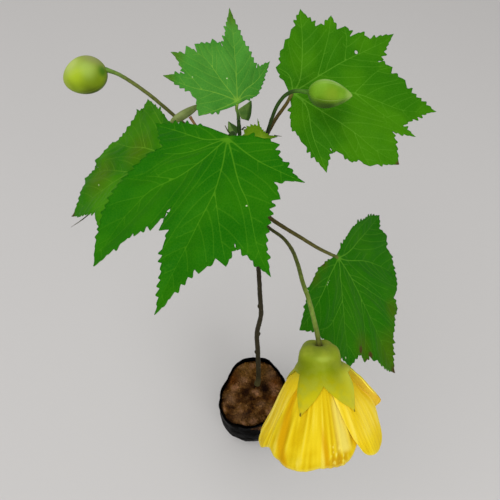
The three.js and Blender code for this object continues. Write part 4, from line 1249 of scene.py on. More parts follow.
def petal(name, seed):
    """One petal as rows from base to end, each across from its right edge at -1 to its left at 1."""
    shape = PETALS[name]
    across, share = np.meshgrid(np.linspace(-1, 1, PETAL_COLUMNS), np.linspace(0, 1, PETAL_ROWS))
    width = np.where(across > 0, eased(shape["left"], share), eased(shape["right"], share))
    angle = np.radians(shape["middle"] + across * width)
    degrees = np.degrees(angle)
    end = eased(shape["end"], (across + 1) / 2) - shape["corner"] * across ** 8 * ease(share, 0.5, 1)
    depth = PETAL_START + share * (end - PETAL_START)
    # Pleats run down the petal and deepen towards its end, and no two are alike.
    down = share * 1.3
    streaks = rough(np.stack([degrees / 8, down, 0 * share], -1), 1, seed + 40)
    fine_streaks = rough(np.stack([degrees / 3.4, 1.6 * down, 0 * share], -1), 1, seed + 50)
    phase = 2 * np.pi * (PLEATS_ACROSS * across + 0.4 * np.sin(4.3 * across + seed)) + seed
    pleat = 0.35 * np.cos(phase) + 1.1 * streaks + 0.8 * fine_streaks
    pleat *= ease(share, 0.12, 0.6)
    crinkle = rough(np.stack([across * 20, share * 34, 0 * share], -1), 3, seed) * ease(share, 0.66, 0.95)
    blotches = rough(np.stack([degrees / 3, share * 22, 0 * share], -1), 1, seed + 60)
    raised = shape["pleats"] * (0.4 * pleat + 0.35 * crinkle)
    # The ridges drive the painted highlight, and the folds the painted shade.
    ridge = shape["pleats"] ** 0.7 * (0.75 * pleat + 0.4 * crinkle) - 0.1
    gold, cream, singed, green_down_to = 0 * share, 0 * share, 0 * share, 1
    if name == "petal_1":
        gold, cream, singed = front_petal_marks(degrees, depth, blotches)
    if name in ("petal_2", "petal_5"):
        # On these petals the cream is partly their own pale colour and partly painted highlight.
        cream = (0.35 + 0.3 * streaks + 0.3 * fine_streaks) * ease(share, 0.2, 0.5)
        cream *= 1 - ease(depth, 36, 44)
        raised -= 0.6 * hill(degrees, np.interp(depth, FOLD_DEPTHS, FOLD_DIRECTIONS), 6) * ease(depth, 15, 25)
    if name == "petal_4":
        green_down_to = 2
        # Petal_4 faces away from the lamps, so its middle gets a painted highlight.
        cream = 0.5 * hill(beside(degrees, SWELL_AT), 0, 24)
    stand_off = swelling(degrees, depth, *shape["swell"])
    stand_off = stand_off - drawn_in(degrees, depth, PETAL_WAIST, CALYX_WAIST)
    lift = 0.75 * PETAL_OVERLAP_LIFT * across * ease(share, 0, 0.3)
    radius = bell_radius(depth, angle) + lift + raised + stand_off
    half = 0.3 * PETAL_THICKNESS
    outer, inner = (in_bell(radius + hand * half, angle, depth).reshape(-1, 3) for hand in (1, -1))
    edge = share ** 14 if name == "petal_1" else np.maximum(0.8 * np.abs(across) ** 10, share ** 14)
    # The painted tone falls a little towards each petal's end.
    marks = {"ridge": ridge, "margin": edge, "base": share / green_down_to, "across": across, "gold": gold,
             "cream": cream, "singed": singed, "tone": shape["tone"] - 0.1 * ease(depth, 41, 48)}
    marks = {label: values.ravel() for label, values in marks.items()}
    flat = np.stack([across * width * 0.6, share * 48], -1).reshape(-1, 2)
    return blade_skin(name + "_tissue", outer, inner, grid_faces(*across.shape), flat, tissue, marks)


for seed, name in enumerate(PETALS):
    dress(petal(name, seed + 1), "petal", name)

# %% [markdown]
# ## Calyx
# Five sepals are joined into a cup that holds the petals. Its crown is rounded, sunk where the
# stalk enters, and raised into five soft ribs where two sepals meet, and below it the sepals
# part into pointed flaps with dark tips. It is one closed skin that runs from the dimple over
# the crown and down to the sepals' edge, and back up inside.

# %% Calyx material
def sepal_skin():
    # Downy green tissue: matt with a faint sheen, olive above and yellower towards the tips.
    material, tree, shader, place = start_material(
        "sepal_skin", Roughness=0.6, IOR=1.4, Specular_IOR_Level=0.1, Sheen_Weight=0.04)
    down = add_node(tree, "ShaderNodeAttribute", attribute_name="down").outputs["Fac"]
    colour = add_node(tree, "ShaderNodeValToRGB", {0: down}, ramp=[
        (0.0, "#808f22"), (0.1, "#84941a"), (0.3, "#8a9804"), (0.5, "#a2a002"), (0.75, "#bcb208"),
        (1.0, "#cbb614")])
    clouds = add_node(tree, "ShaderNodeTexNoise", {"Vector": place, "Scale": per_mm(5), "Detail": 3.0})
    # The rim tint is a painted highlight on the crown, and the dimple tint is painted shade round the stalk's
    # foot.
    colour = layered(tree, colour, [
        (clouds, 0.4, 0.65, 0.0, 0.45, "#9aa430"), ("band", 0.0, 1.0, 0.0, 1.0, "#606e02"),
        ("hazy", 0.0, 1.0, 0.0, 0.7, "#ccd040"), ("rim", 0.0, 1.0, 0.0, 0.45, "#a4b848"),
        ("tip", 0.3, 0.9, 0.0, 1.0, "#6a5514"), ("dimple", 0.0, 1.0, 0.0, 0.9, "#4e4a0c")])
    wire(tree, shader, {"Base Color": colour, "Normal": grainy(tree, place, 0.5, 0.08)})
    return material


downy_green = sepal_skin()
print("sepal skin is ready")

# %% Calyx
SEPALS = 5
CALYX_SIDES = 240
CALYX_RADIUS = 10.6
CALYX_WALL = 0.7
CALYX_SHOULDER = 8
CALYX_DIMPLE = 1.2
CALYX_RIB = 0.3
CALYX_HOLLOW = 0.15
# The crown as [radius, depth] from the dimple down to the shoulder.
CALYX_CROWN = [
    [0.4, CALYX_DIMPLE], [1.6, -0.3], [2.6, -0.9], [4.6, -1.2], [6.6, -0.8], [8.3, 0.3], [9.4, 2.1],
    [10.1, 5], [CALYX_RADIUS, CALYX_SHOULDER]]
SEPAL_TIP = 26.5
# The edge of the sepals as [direction in degrees, depth], tips and notches by turns.
SEPAL_EDGE = [
    [-180, 26.5], [-153, 14], [-124, 26.5], [-100, 12], [-72, 12], [-45, 26.2], [0, 14.5], [35, 27],
    [60, 11.5], [92, 12], [118, 20], [150, 14], [180, 26.5]]


def calyx():
    """The cup's rings: crown and sepals outside, and back up inside to a roof over the petals."""
    degrees = np.linspace(-180, 180, CALYX_SIDES, endpoint=False)[None, :]
    angle = np.radians(degrees)
    clear = PETAL_THICKNESS / 2 + PETAL_OVERLAP_LIFT + GAP
    crown = smooth_way(CALYX_CROWN, 0.6)
    along = ease(crown[:, 0], 2, 9)[:, None]
    ribs = np.cos(SEPALS * angle)
    # The crown bulges, and the cup is drawn in below it, most of all in the middle of each sepal.
    waist = hill(crown[:, 1:], CALYX_SHOULDER, 3)
    radius = crown[:, :1] + along * (CALYX_RIB * ribs - CALYX_HOLLOW * waist * (1 - 0.4 * ribs))
    depth = crown[:, 1:] - 0.25 * along * ribs * (crown[:, 1:] < 3)
    down = np.linspace(0, 1, 40)[1:, None]
    edge = np.interp(degrees, *np.array(SEPAL_EDGE).T)
    tips = [direction for direction, reach in SEPAL_EDGE if reach >= 20]
    awns = sum(hill(degrees, tip, 1.6) + hill(degrees, tip - 360, 1.6) for tip in tips)
    reach = edge + 0.8 * awns
    skirt_depth = CALYX_SHOULDER + down * (reach - CALYX_SHOULDER)
    skirt = bell_radius(skirt_depth, angle) + clear + 0.5 * CALYX_WALL - 0.5 * ease(down, 0.6, 1)
    skirt += (1 - ease(down, 0, 0.5)) * (radius[-1] - skirt[0]) * (1 - down)
    skirt += swelling(degrees, skirt_depth, PETALS["petal_4"]["swell"][0], 30)
    skirt -= drawn_in(degrees, skirt_depth, CALYX_WAIST)
    outer_r, outer_d = np.vstack([radius, skirt]), np.vstack([depth, skirt_depth])
    inner_r = (outer_r - CALYX_WALL * 0.7)[::-1][:-10]
    inner_d = outer_d[::-1][:-10]
    roof = np.linspace(1, 0.05, 8)[:, None]
    roof_r = inner_r[-1] * roof
    roof_d = CALYX_DIMPLE + 0.5
    radius = np.vstack([outer_r, inner_r, roof_r])
    depth = np.vstack([outer_d, np.maximum(inner_d, roof_d), np.full_like(roof_r, roof_d)])
    rings = in_bell(radius, angle, depth)
    # A dark saddle lies under the crown's rim, deepest to both sides of the flower's front.
    sides = 0.32 + 0.3 * hill(degrees, 56, 26) + 0.12 * hill(degrees, -34, 20)
    band = ease(depth, 1.5, 6) * (1 - ease(depth, 8, 18)) * sides
    # A painted highlight on the crown's front rim, where its surface faces up to the light.
    rim = hill(depth, 2.6, 1.3) * hill(degrees, -4, 26) * (radius > 8)
    hazy = hill(degrees, -78, 34) * ease(depth, 7, 13)
    tip = ease(awns, 0.3, 0.9) * ease(depth, SEPAL_TIP - 1.5, SEPAL_TIP)
    # Painted shade in the dimple round the stalk's foot.
    dimple = 0.5 * hill(radius, 1.2, 2.6)
    marks = {"down": depth / SEPAL_TIP, "band": band, "rim": rim, "hazy": hazy, "tip": tip, "dimple": dimple}
    return ring_skin("calyx_cup", rings, downy_green, marks)


dress(calyx(), "calyx", "calyx")

# %% [markdown]
# ## Stamen column
# Inside the bell the stamens are joined into one column that ends in a round head of anthers.
# The column is a ring skin. The anthers are small yellow grains, and a recipe sets them over
# the head, each on the surface and turned with it.

# %% Stamen column
def pollen_yellow():
    # Ripe anthers are covered with dry pollen: a warm yellow with no gloss.
    material, tree, shader, place = start_material("pollen_yellow", Roughness=0.75, IOR=1.4)
    tone = add_node(tree, "ShaderNodeTexNoise", {"Vector": place, "Scale": per_mm(0.8)})
    colour = add_node(tree, "ShaderNodeMix", {"Factor": tone, "A": "#d9a514", "B": "#f3d65a"}, **COLOURS)
    wire(tree, shader, {"Base Color": colour})
    return material


pollen = pollen_yellow()


COLUMN_SIDES = 40
COLUMN_END = 40
COLUMN_HEAD_DEPTH = 35.5
COLUMN_HEAD_RADIUS = 3.9
COLUMN_HEAD_START = 32
# The tube as (radius, depth) in mm.
COLUMN_TUBE = [(0.3, 2.3), (2.2, 2.5), (2.0, 4), (1.6, 8), (1.5, 16), (1.4, 24), (1.5, 31)]


def column():
    """The tube of joined stamens, with its round head marked for the anthers."""
    radius, depth = COLUMN_HEAD_RADIUS, COLUMN_HEAD_DEPTH
    turns = np.linspace(0.35, np.pi - 0.05, 26)
    head = [(radius * math.sin(turn), depth - radius * math.cos(turn)) for turn in turns]
    profile = np.vstack([smooth_way(COLUMN_TUBE, 0.6), head])
    angle = full_turn(COLUMN_SIDES)
    rings = in_bell(profile[:, :1], angle, np.minimum(profile[:, 1:], COLUMN_END))
    on_head = ease(profile[:, 1:], COLUMN_HEAD_START - 0.4, COLUMN_HEAD_START + 0.4) + 0 * angle
    return ring_skin("stamen_tube", rings, pollen, {"head": on_head})


stamens = column()
dress(stamens, "petal", "stamen_column")

# %% Anthers
# Faces with a head mark above this carry anthers.
ON_HEAD = 0.9
recipe, given, made = new_recipe("set anthers", {
    "Anthers per m2": 9.0e5, "Half length": 0.75 * MM, "Half width": 0.42 * MM, "Seed": 2})
head = add_node(recipe, "GeometryNodeInputNamedAttribute", {"Name": "head"}, data_type="FLOAT")
wanted = add_node(recipe, "FunctionNodeCompare", {"A": head, "B": ON_HEAD}, operation="GREATER_THAN")
spots = add_node(recipe, "GeometryNodeDistributePointsOnFaces", {
    "Mesh": given["Geometry"], "Selection": wanted,
    "Density": given["Anthers per m2"], "Seed": given["Seed"]})
grain = add_node(recipe, "GeometryNodeMeshUVSphere", {"Segments": 8, "Rings": 5, "Radius": 1.0})
lens = add_node(recipe, "ShaderNodeCombineXYZ", {
    "X": given["Half length"], "Y": given["Half width"], "Z": given["Half width"]})
strew(recipe, made, spots, grain, spots.outputs["Rotation"], lens, pollen)

dress(cook(recipe, stamens, "anthers"), "petal")

# %% [markdown]
# ## Buds
# A flower bud is the closed calyx: five sepals that meet edge to edge in faint seams and run
# together in a small point. The round bud is yellow-green, the other is drawn out like a lemon.
# Both carry a painted highlight on top and painted shade below. Both are ring skins along a line
# from base to tip.

# %% Bud numbers
# Spots of painted highlight and painted shade, each of another tint: the direction from the bud's
# middle, their spread and colour.
BUDS = {
    "bud_left": dict(base=(-77.6, 35.3, 413.2), tip=(-99.4, 30.6, 408.4), radius=9.7, point=0.1, flushes=[
        ((0.35, -0.54, 0.77), 0.14, "#9db84e"), ((-0.3, -0.8, 0.52), 0.16, "#a2ba20"),
        ((-0.6, -0.1, 0.8), 0.2, "#b2c464"), ((0.5, 0.35, 0.8), 0.2, "#8f9656"),
        ((0.93, -0.17, 0.36), 0.035, "#4a7c12"), ((0.35, -0.72, -0.6), 0.2, "#4c5a12")]),
    "bud_right": dict(base=(26, 24.2, 407.2), tip=(48.6, 23.5, 405.4), radius=7.9, point=0.28, flushes=[
        ((-0.3, 0.4, 0.85), 0.14, "#98c05c"), ((0.4, 0.4, 0.82), 0.16, "#a2c670"),
        ((0, -0.8, 0.5), 0.2, "#76981a"), ((-0.55, -0.75, -0.4), 0.2, "#3c5c08"),
        ((0, -0.8, -0.55), 0.2, "#304c06"), ((-0.94, -0.1, -0.25), 0.1, "#42740a"),
        ((0.7, -0.62, -0.3), 0.08, "#567628")]),
    "folded_leaf": dict(
        base=(-44.7, 13.4, 396.2), tip=(-27.8, 21.5, 402.5), radius=2.4, point=0.35, flushes=[]),
}
print("closed buds:", sorted(BUDS))

# %% Bud material
def bud_skin(name, base, light, tip, below, flushes=()):
    # The same downy tissue as the calyx, in two soft tones, with painted shade below and spots of
    # painted highlight and painted shade.
    material, tree, shader, place = start_material(
        name, Roughness=0.55, IOR=1.4, Specular_IOR_Level=0.14, Sheen_Weight=0.05)
    clouds = add_node(tree, "ShaderNodeTexNoise", {"Vector": place, "Scale": per_mm(7)})
    colour = layered(tree, base, [
        (clouds, 0.3, 0.7, 0.0, 1.0, light), ("along", 0.75, 1.0, 0.0, 0.5, tip),
        ("below", -0.5, 0.8, 0.0, 0.85, below),
        *((f"flush_{number}", 0.0, 1.0, 0.0, 0.9, tint) for number, (*_, tint) in enumerate(flushes)),
        ("seam", 0.4, 1.0, 0.0, 0.3, tip)])
    wire(tree, shader, {"Base Color": colour, "Normal": grainy(tree, place, 0.45, 0.07)})
    return material


print("buds share the calyx's down")

# %% Flower buds
def bud(name, folds, fold_mm, material, rows=72, sides=100):
    """A bud as a ring skin: raised into soft folds, with a fine seam along each of them."""
    shape = BUDS[name]
    base, tip = np.array(shape["base"]), np.array(shape["tip"])
    axis = unit(tip - base)
    side = unit(np.cross(axis, [0.1, 1, 0.2]))
    other = np.cross(axis, side)
    length = np.linalg.norm(tip - base)
    share = (1 - np.cos(np.linspace(0.04, np.pi - 0.05, rows))) / 2
    angle = full_turn(sides)
    full = np.sqrt(1 - (2 * share - 1) ** 2) * (1 - 2 * shape["point"] * share ** 2)
    beak = 0.09 * np.exp(-((1 - share) / 0.045))
    middle = np.sin(np.pi * share)[:, None] ** 0.5
    turns = folds * angle / (2 * np.pi)
    seam = hill(turns, np.round(turns), 0.035)
    radius = shape["radius"] * np.maximum(full, beak)[:, None] * np.ones_like(angle)
    radius = radius + middle * fold_mm * np.cos(folds * angle)
    radius = radius - middle * 0.3 * fold_mm * seam
    out = side * np.cos(angle)[:, None] + other * np.sin(angle)[:, None]
    rings = base + (share * length)[:, None, None] * axis + radius[..., None] * out
    # Painted shade on the side of the bud that faces down.
    below = np.broadcast_to(-out @ [0, -0.6, 0.8], radius.shape)
    marks = {"along": share[:, None] + 0 * angle, "seam": seam * middle, "below": below}
    # Spots of painted highlight and painted shade, by the way the skin faces from the bud's middle.
    from_middle = rings - (base + tip) / 2
    from_middle /= np.linalg.norm(from_middle, axis=-1, keepdims=True)
    for number, (direction, spread, _) in enumerate(shape["flushes"]):
        aside = 1 - from_middle @ unit(direction)
        marks[f"flush_{number}"] = np.exp(-aside / spread)
    return ring_skin(name + "_skin", rings, material, marks)


# The last colour of each bud is its painted shade below.
for name, fold_mm, tones in (("bud_left", 0.25, ("#7a920e", "#88a018", "#aab846", "#4a5e08")),
                             ("bud_right", 0.3, ("#62930e", "#74a422", "#b0c478", "#33520a"))):
    down = bud_skin(name + "_down", *tones, BUDS[name]["flushes"])
    dress(bud(name, SEPALS, fold_mm, down), "calyx", name)

# %% [markdown]
# ## Shoot tip
# At the end of the stem sit what will be the next leaves: a pointed pair still pressed
# together, a smaller one beside it with its narrow dark stipules, and further out on a reddish
# stalk a young leaf that is still folded along its midrib.

# %% Tip leaf material
def tip_leaf_skin(name, left, paler, edge, right):
    # Young tissue under dense down: matt, one colour on the near half, and painted shade on the far
    # half, which is bent back.
    material, tree, shader, place = start_material(
        name, Roughness=0.65, IOR=1.4, Specular_IOR_Level=0.12, Sheen_Weight=0.05)
    clouds = add_node(tree, "ShaderNodeTexNoise", {"Vector": place, "Scale": per_mm(2.5), "Detail": 3.0})
    colour = layered(tree, left, [
        (clouds, 0.35, 0.7, 0.0, 0.6, paler), ("edge", 0.7, 1.0, 0.0, 0.7, edge),
        ("half", 0.2, -0.2, 0.0, 1.0, right), ("under", 0.4, 0.6, 0.0, 0.6, "#4a5a34")])
    wire(tree, shader, {"Base Color": colour, "Normal": grainy(tree, place, 0.4, 0.1)})
    return material


# The last colour is the painted shade on the half that is bent back.
TIP_GREENS = {
    "tip_bud": tip_leaf_skin("tip_bud_down", "#3c5c20", "#56702e", "#647c40", "#26420f"),
    "side_bud": tip_leaf_skin("side_bud_down", "#5c7a38", "#7a9450", "#4a6428", "#324f1c"),
}
print("tip leaves are downy")

# %% Folded leaves
# Half-widths in mm at even steps from base to tip, of the left half and of the right.
TIP_LEAVES = {
    "tip_bud": dict(base=(-5.5, 13.5, 398), tip=(-3, 21.1, 404.1),
                    left=[2.6, 4.4, 5.2, 3.7, 1.9, 0.3], right=[1.2, 1.6, 1.6, 1.3, 0.9, 0.2]),
    "side_bud": dict(base=(-10.9, 9.3, 391.1), tip=(-14.5, 12.6, 397.7),
                     left=[0.4, 1.6, 2.2, 2.1, 1.2, 0.3], right=[0.3, 2, 2.8, 2.2, 1.1, 0.2]),
}
TIP_LEAF_FACES = [0, -0.62, 0.79]
TIP_LEAF_FOLD = 0.5
TIP_LEAF_HALF = 0.35
TIP_LEAF_ROWS = 49
TIP_LEAF_COLUMNS = 41


def tip_leaf(name, seed):
    """A leaf folded along its midrib: the left half faces the front, and the right half is bent back."""
    leaf = TIP_LEAVES[name]
    base = np.array(leaf["base"])
    run = np.array(leaf["tip"]) - base
    along = unit(run)
    up = np.array(TIP_LEAF_FACES)
    up = unit(up - (up @ along) * along)
    across, share = np.meshgrid(np.linspace(-1, 1, TIP_LEAF_COLUMNS), np.linspace(0, 1, TIP_LEAF_ROWS))
    reach = across * np.where(across > 0, eased(leaf["left"], share), eased(leaf["right"], share))
    level = TIP_LEAF_FOLD * np.minimum(0, reach) - 0.25 * hill(reach, 0, 0.35)
    flat = np.stack([reach, share * np.linalg.norm(run)], -1).reshape(-1, 2)
    level += 0.25 * rough(np.stack([reach, share * 8, 0 * share], -1), 1.6, seed) * ease(share, 0, 0.2)
    middle = base + share[..., None] * run + reach[..., None] * np.cross(up, along) + level[..., None] * up
    upper, lower = ((middle + TIP_LEAF_HALF * hand * up).reshape(-1, 3) for hand in (1, -1))
    # The half mark places the painted shade on the bent-back right half.
    marks = {"half": across.ravel(), "edge": np.abs(across).ravel()}
    return blade_skin(name + "_blade", upper, lower, grid_faces(*across.shape), flat, TIP_GREENS[name], marks)


for seed, name in enumerate(TIP_LEAVES):
    dress(tip_leaf(name, seed + 30), "young_leaf", name)
# Its last colour is painted shade on the side that faces down.
folded_skin = bud_skin("folded_leaf_skin", "#6c7c3e", "#8a985c", "#74502e", "#4a5226")
dress(bud("folded_leaf", 2, 0.5, folded_skin, 48, 48), "young_leaf", "folded_leaf")

# %% [markdown]
# ## Stalks
# Every leaf, bud and flower hangs on a stalk: a thin green rod, brown and woody near the stem
# and swollen where it meets the blade. A stalk follows a path, so a recipe sweeps a circle
# along it. The radius goes from the near to the far size with a swelling at both ends, and the
# share along the path is kept as a mark, to turn the colour from brown to green.

# %% Stalk recipe
# The share of the path that swells at each end, and how far in mm the surface is uneven.
SWELLING_SHARE = 0.07
UNEVEN = 0.15
stalk_recipe, given, made = new_recipe("sweep a stalk", {
    "Near radius": 1.0 * MM, "Far radius": 1.0 * MM, "Swelling": 0.25, "Sides": 18, "Step": 0.8 * MM})
curve = add_node(stalk_recipe, "GeometryNodeMeshToCurve", {"Mesh": given["Geometry"]})
curve = add_node(stalk_recipe, "GeometryNodeResampleCurve", {"Curve": curve}, mode="LENGTH")
wire(stalk_recipe, curve, {"Length": given["Step"]})
along = add_node(stalk_recipe, "GeometryNodeSplineParameter")
radius = add_node(stalk_recipe, "ShaderNodeMapRange", {
    "Value": along, "To Min": given["Near radius"], "To Max": given["Far radius"]})
to_end = add_node(stalk_recipe, "ShaderNodeMath", {0: along, 1: 0.5}, operation="SUBTRACT")
to_end = add_node(stalk_recipe, "ShaderNodeMath", {0: to_end}, operation="ABSOLUTE")
swell = add_node(stalk_recipe, "ShaderNodeMapRange", {
    "Value": to_end, "From Min": 0.5 - SWELLING_SHARE, "From Max": 0.5,
    "To Max": given["Swelling"]}, **SMOOTH)
swell = add_node(stalk_recipe, "ShaderNodeMath", {0: swell, 1: 1.0}, operation="ADD")
radius = add_node(stalk_recipe, "ShaderNodeMath", {0: radius, 1: swell}, operation="MULTIPLY")
curve = add_node(stalk_recipe, "GeometryNodeStoreNamedAttribute", {
    "Geometry": curve, "Name": "along", "Value": along}, data_type="FLOAT", domain="POINT")
circle = add_node(stalk_recipe, "GeometryNodeCurvePrimitiveCircle", {
    "Radius": 1.0, "Resolution": given["Sides"]})
rod = add_node(stalk_recipe, "GeometryNodeCurveToMesh", {
    "Curve": curve, "Profile Curve": circle, "Scale": radius, "Fill Caps": True})
ripple = add_node(stalk_recipe, "ShaderNodeTexNoise", {"Scale": per_mm(2)})
ripple = add_node(stalk_recipe, "ShaderNodeMapRange", {
    "Value": ripple, "To Min": -UNEVEN * MM, "To Max": UNEVEN * MM})
push = add_node(stalk_recipe, "ShaderNodeVectorMath", {
    0: add_node(stalk_recipe, "GeometryNodeInputNormal"), "Scale": ripple}, operation="SCALE")
rod = add_node(stalk_recipe, "GeometryNodeSetPosition", {"Geometry": rod, "Offset": push})
rod = add_node(stalk_recipe, "GeometryNodeRealizeInstances", {"Geometry": rod})
stalk_paint = add_node(stalk_recipe, "GeometryNodeSetMaterial", {"Geometry": rod})
wire(stalk_recipe, made, {"Geometry": stalk_paint})
print("the stalk recipe has", len(stalk_recipe.nodes), "nodes")

# %% Stalk material
def stalk_skin(name, near, middle, far, end):
    # Soft green skin over a woody core: four colours along it, mottled, with a downy sheen.
    material, tree, shader, place = start_material(
        name, Roughness=0.6, IOR=1.4, Specular_IOR_Level=0.14, Sheen_Weight=0.05)
    along = add_node(tree, "ShaderNodeAttribute", attribute_name="along").outputs["Fac"]
    colour = add_node(tree, "ShaderNodeValToRGB", {0: along}, ramp=[
        (0.0, near), (0.45, middle), (0.85, far), (1.0, end)])
    mottle = add_node(tree, "ShaderNodeTexNoise", {"Vector": place, "Scale": per_mm(2.2)})
    tone = add_node(tree, "ShaderNodeMapRange", {
        "Value": mottle, "From Min": 0.3, "From Max": 0.7, "To Min": 0.72, "To Max": 1.25})
    colour = add_node(tree, "ShaderNodeVectorMath", {0: colour, "Scale": tone}, operation="SCALE")
    wire(tree, shader, {"Base Color": colour, "Normal": grainy(tree, place, 0.4, 0.08)})
    return material


def sweep(name, way, radii, skin, **sizes):
    """A rod along a way, from its near to its far radius in mm."""
    stalk_paint.inputs["Material"].default_value = skin
    line = line_object(name + "_line", way)
    near, far = radii
    rod = cook(stalk_recipe, line, name, Near_radius=near * MM, Far_radius=far * MM, **sizes)
    bpy.data.objects.remove(line)
    return rod


print("stalks go from woody brown to green")

# %% Stalk numbers
# A stalk's root is the height in mm and the direction in degrees where it leaves the stem.
STALKS = {
    "stalk_front": dict(
        root=(352, -100), way=[(-7, -4, 366), (-9.5, -10, 390)], leaf="leaf_front", radii=(1.3, 1.0)),
    "stalk_left": dict(
        root=(358, 190), way=[(-18, 8, 372), (-33, 3.5, 384)], leaf="leaf_left", radii=(1.3, 1.0)),
    "stalk_right": dict(
        root=(370, 45), way=[(5.6, 19.4, 384.4), (10.6, 25.4, 390.3), (16.2, 31.7, 395.1)],
        leaf="leaf_right", straight=True, radii=(1.2, 0.9)),
    "stalk_low": dict(
        root=(342, -50), way=[(7.5, -1.9, 341), (16.8, -7.8, 338), (25.6, -11.3, 334), (36.6, -13.9, 327)],
        leaf="leaf_low", straight=True, radii=(1.3, 1.0)),
    "stalk_top": dict(root="tip", way=[(-9.9, 18.3, 399.4)], leaf="leaf_top", radii=(0.9, 0.8)),
    "stalk_folded": dict(
        root=(375, 150), way=[(-16, 12, 380), (-27, 13, 389), (-31.4, 13.6, 394)],
        at=(-34.6, 16.3, 398), radii=(0.8, 0.7)),
    "stalk_small": dict(root=(382, -20), way=[(-1, 7, 388)], leaf="leaf_small", radii=(0.5, 0.4)),
    "flower_stalk": dict(
        root=(335, -60), way=[(6.3, -7.1, 339), (14.7, -21.1, 345), (18.8, -32.6, 349),
                              (21, -44.7, 352), (22.5, -57.2, 354), (25, -66.5, 352.5)], radii=(0.9, 1.2)),
    "bud_stalk_left": dict(
        root=(362, 155), way=[(-16, 14.5, 373), (-37, 21.5, 387.4), (-57.4, 29, 403.4), (-70.5, 32.8, 411.4)],
        bud="bud_left", radii=(0.9, 1.0)),
    "bud_stalk_right": dict(
        root=(364, 30), way=[(3.4, 13.5, 381), (7.9, 18.7, 395.3), (10.9, 21.9, 401.6),
                             (14.8, 23.9, 405.7), (19.4, 24.6, 407.5)], bud="bud_right", radii=(0.9, 1.0)),
}
# Near, middle, far and end colour of each stalk.
STALK_LOOKS = {
    "stalk_front": ("#3c3518", "#4a4a22", "#2c3c12", "#24400e"),
    "stalk_left": ("#3c3518", "#4a4a22", "#56602a", "#6a8a2c"),
    "stalk_right": ("#1a1806", "#30280a", "#52461c", "#6a6a2c"),
    "stalk_low": ("#3a2c16", "#504a22", "#5a5828", "#5b6a2a"),
    "stalk_top": ("#33481f", "#4b6a28", "#7a9a34", "#8ab03a"),
    "stalk_folded": ("#3d3a1c", "#5c5332", "#76603a", "#86603c"),
    "stalk_small": ("#3d4a1c", "#5f7a20", "#7f9a20", "#8aa62a"),
    "flower_stalk": ("#241a0e", "#585c26", "#748c38", "#4a4410"),
    "bud_stalk_left": ("#33340f", "#4d4c20", "#616a30", "#5d8230"),
    "bud_stalk_right": ("#101404", "#1c260a", "#2c4a12", "#4c7a24"),
}
print("stalks:", len(STALKS))

# %% Stalk paths
STALK_SEAT = 0.2


def stalk_way(stalk):
    """The whole path of a stalk: out of the stem's side, along its way, and up to what it carries."""
    if stalk["root"] == "tip":
        onward = unit(stem_line[-1] - stem_line[-2])
        start = [stem_line[-1] + GAP * onward]
    else:
        height, direction = stalk["root"]
        number = int(np.searchsorted(stem_heights, height))
        centre, along = stem_line[number], unit(stem_line[number + 1] - stem_line[number - 1])
        out = np.array([math.cos(math.radians(direction)), math.sin(math.radians(direction)), 0])
        out = unit(out - (out @ along) * along)
        # The first point is sunk a little into the bark.
        surface = centre + out * (stem_radius(number / (len(stem_line) - 1)) - STALK_SEAT)
        start = [surface, surface + out * (stalk["radii"][0] + GAP)]
    if "leaf" in stalk:
        leaf = LEAVES[stalk["leaf"]]
        # It comes to the notch from behind and below, or straight into the blade.
        reach = NOTCH_RADIUS + GAP + 0.6 * stalk["radii"][1]
        places = [[-reach - 1.5, 0, -1], [-reach + 1.2, 0, -0.4]]
        if "straight" in stalk:
            places = [[-0.8, -0.6, 0]]
        end = list(np.array(leaf["junction"]) + np.array(places) @ leaf_frame(leaf).T)
    elif "bud" in stalk:
        base = np.array(BUDS[stalk["bud"]]["base"])
        onward = unit(np.array(BUDS[stalk["bud"]]["tip"]) - base)
        end = [base + 0.4 * onward]
    elif "at" in stalk:
        end = [stalk["at"]]
    else:
        # The flower's stalk turns down over the crown and ends in its dimple.
        end = list(FLOWER_AT + np.array([[0, 0, -1.1], [0, 0, CALYX_DIMPLE - 0.1]]) @ bell_frame)
    return smooth_way([*start, *stalk["way"], *end], 0.6)


for name, stalk in STALKS.items():
    skin = stalk_skin(name + "_skin", *STALK_LOOKS[name])
    dress(sweep(name + "_rod", stalk_way(stalk), stalk["radii"], skin), "stalk", name)

# %% [markdown]
# ## Stipules and hair-fine tips
# Beside the shoot tip stand narrow dark stipules, and two leaf lobes end in a drawn-out awn
# that is finer than a solid can be. They follow paths too, so the stalk's recipe makes them,
# with a far radius of almost nothing and no swelling.

# %% Stipules
FINE_PARTS = {
    "stipule_left": dict(
        way=[(-12.0, 8.6, 391.4), (-14.6, 9.6, 393.6), (-16.4, 11.4, 396.2)], radii=(0.6, 0.15)),
    "stipule_right": dict(
        way=[(-7.7, 11.6, 393.4), (-6.2, 11.2, 395.4), (-5.0, 9.4, 394.6)], radii=(0.45, 0.12)),
    "left_awn": dict(leaf="leaf_left", way=[[-1, 60], [-0.5, 74], [-2, 90]], radii=(0.5, 0.12)),
    "small_awn": dict(leaf="leaf_small", way=[[-84, 6.5], [-89, 8.6], [-91, 10.5]], radii=(0.3, 0.1)),
}
stipule_skin = stalk_skin("stipule_skin", "#20280f", "#2c3618", "#4a4a2c", "#5a5038")

for name, part in FINE_PARTS.items():
    way = part["way"]
    if "leaf" in part:
        way = list(blade_point(LEAVES[part["leaf"]], polar(way), np.zeros(len(way))))
    dress(sweep(name, smooth_way(way, 0.4), part["radii"], stipule_skin, Swelling=0.0, Sides=10), "stalk")

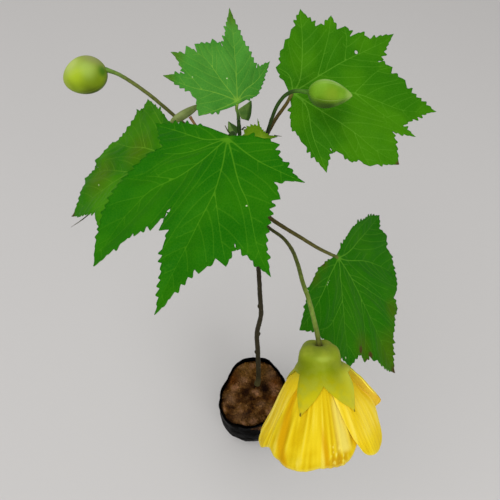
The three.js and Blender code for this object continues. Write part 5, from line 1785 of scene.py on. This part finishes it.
# %% [markdown]
# ## Floor, light and camera
# The plant stands on a plain pale floor. One broad soft lamp above, a weak one low in front and a
# pale surround give the even light of an overcast day. The camera looks down at 52 degrees from
# in front, close to the plant, so the flower and upper leaves look large and the bag looks small.

# %% Floor and light
# Plain painted board: matt, pale grey, with nothing on it.
FLOOR_REACH = 3
LAMPS = {
    "sky_lamp": dict(place=(-1.0, -0.8, 3.0), size=3.0, power=60),
    "low_lamp": dict(place=(0.6, -1.2, 0.75), size=1.0, power=7),
}
LAMPS_AIM = Vector((0, 0, 0.3))
floor_paint = start_material("plain_floor", Base_Color="#cbc9c8", Roughness=0.85, IOR=1.45)[0]
mesh = bpy.data.meshes.new("floor")
corners = [(x * FLOOR_REACH, y * FLOOR_REACH, 0) for x, y in ((-1, -1), (1, -1), (1, 1), (-1, 1))]
mesh.from_pydata(corners, [], [(0, 1, 2, 3)])
mesh.materials.append(floor_paint)
floor = bpy.data.objects.new("floor", mesh)
bpy.context.scene.collection.objects.link(floor)

world = bpy.data.worlds.new("pale_surround")
world.use_nodes = True
wire(world.node_tree, world.node_tree.nodes["Background"], {"Color": "#f1f0ee", "Strength": 0.52})
bpy.context.scene.world = world

for name, given in LAMPS.items():
    lamp = bpy.data.lights.new(name, "AREA")
    lamp.size = given["size"]
    lamp.energy = given["power"]
    holder = bpy.data.objects.new(name, lamp)
    holder.location = given["place"]
    holder.rotation_euler = (LAMPS_AIM - holder.location).to_track_quat("-Z", "Y").to_euler()
    bpy.context.scene.collection.objects.link(holder)
print("lamps:", {name: given["power"] for name, given in LAMPS.items()}, "watts")

# %% Camera
# The plain transform shows a lit surface in its own colour, as a phone's picture does.
LOOK_DOWN = 52
bpy.context.scene.view_settings.view_transform = "Standard"
camera = bpy.data.objects.new("camera", bpy.data.cameras.new("camera"))
camera.data.lens = 35
camera.data.sensor_width = 36
camera.location = (-0.0036, -0.192, 0.553)
camera.rotation_euler = (math.radians(90 - LOOK_DOWN), 0, 0)
bpy.context.scene.collection.objects.link(camera)
bpy.context.scene.camera = camera
print("camera at", [round(x, 3) for x in camera.location])
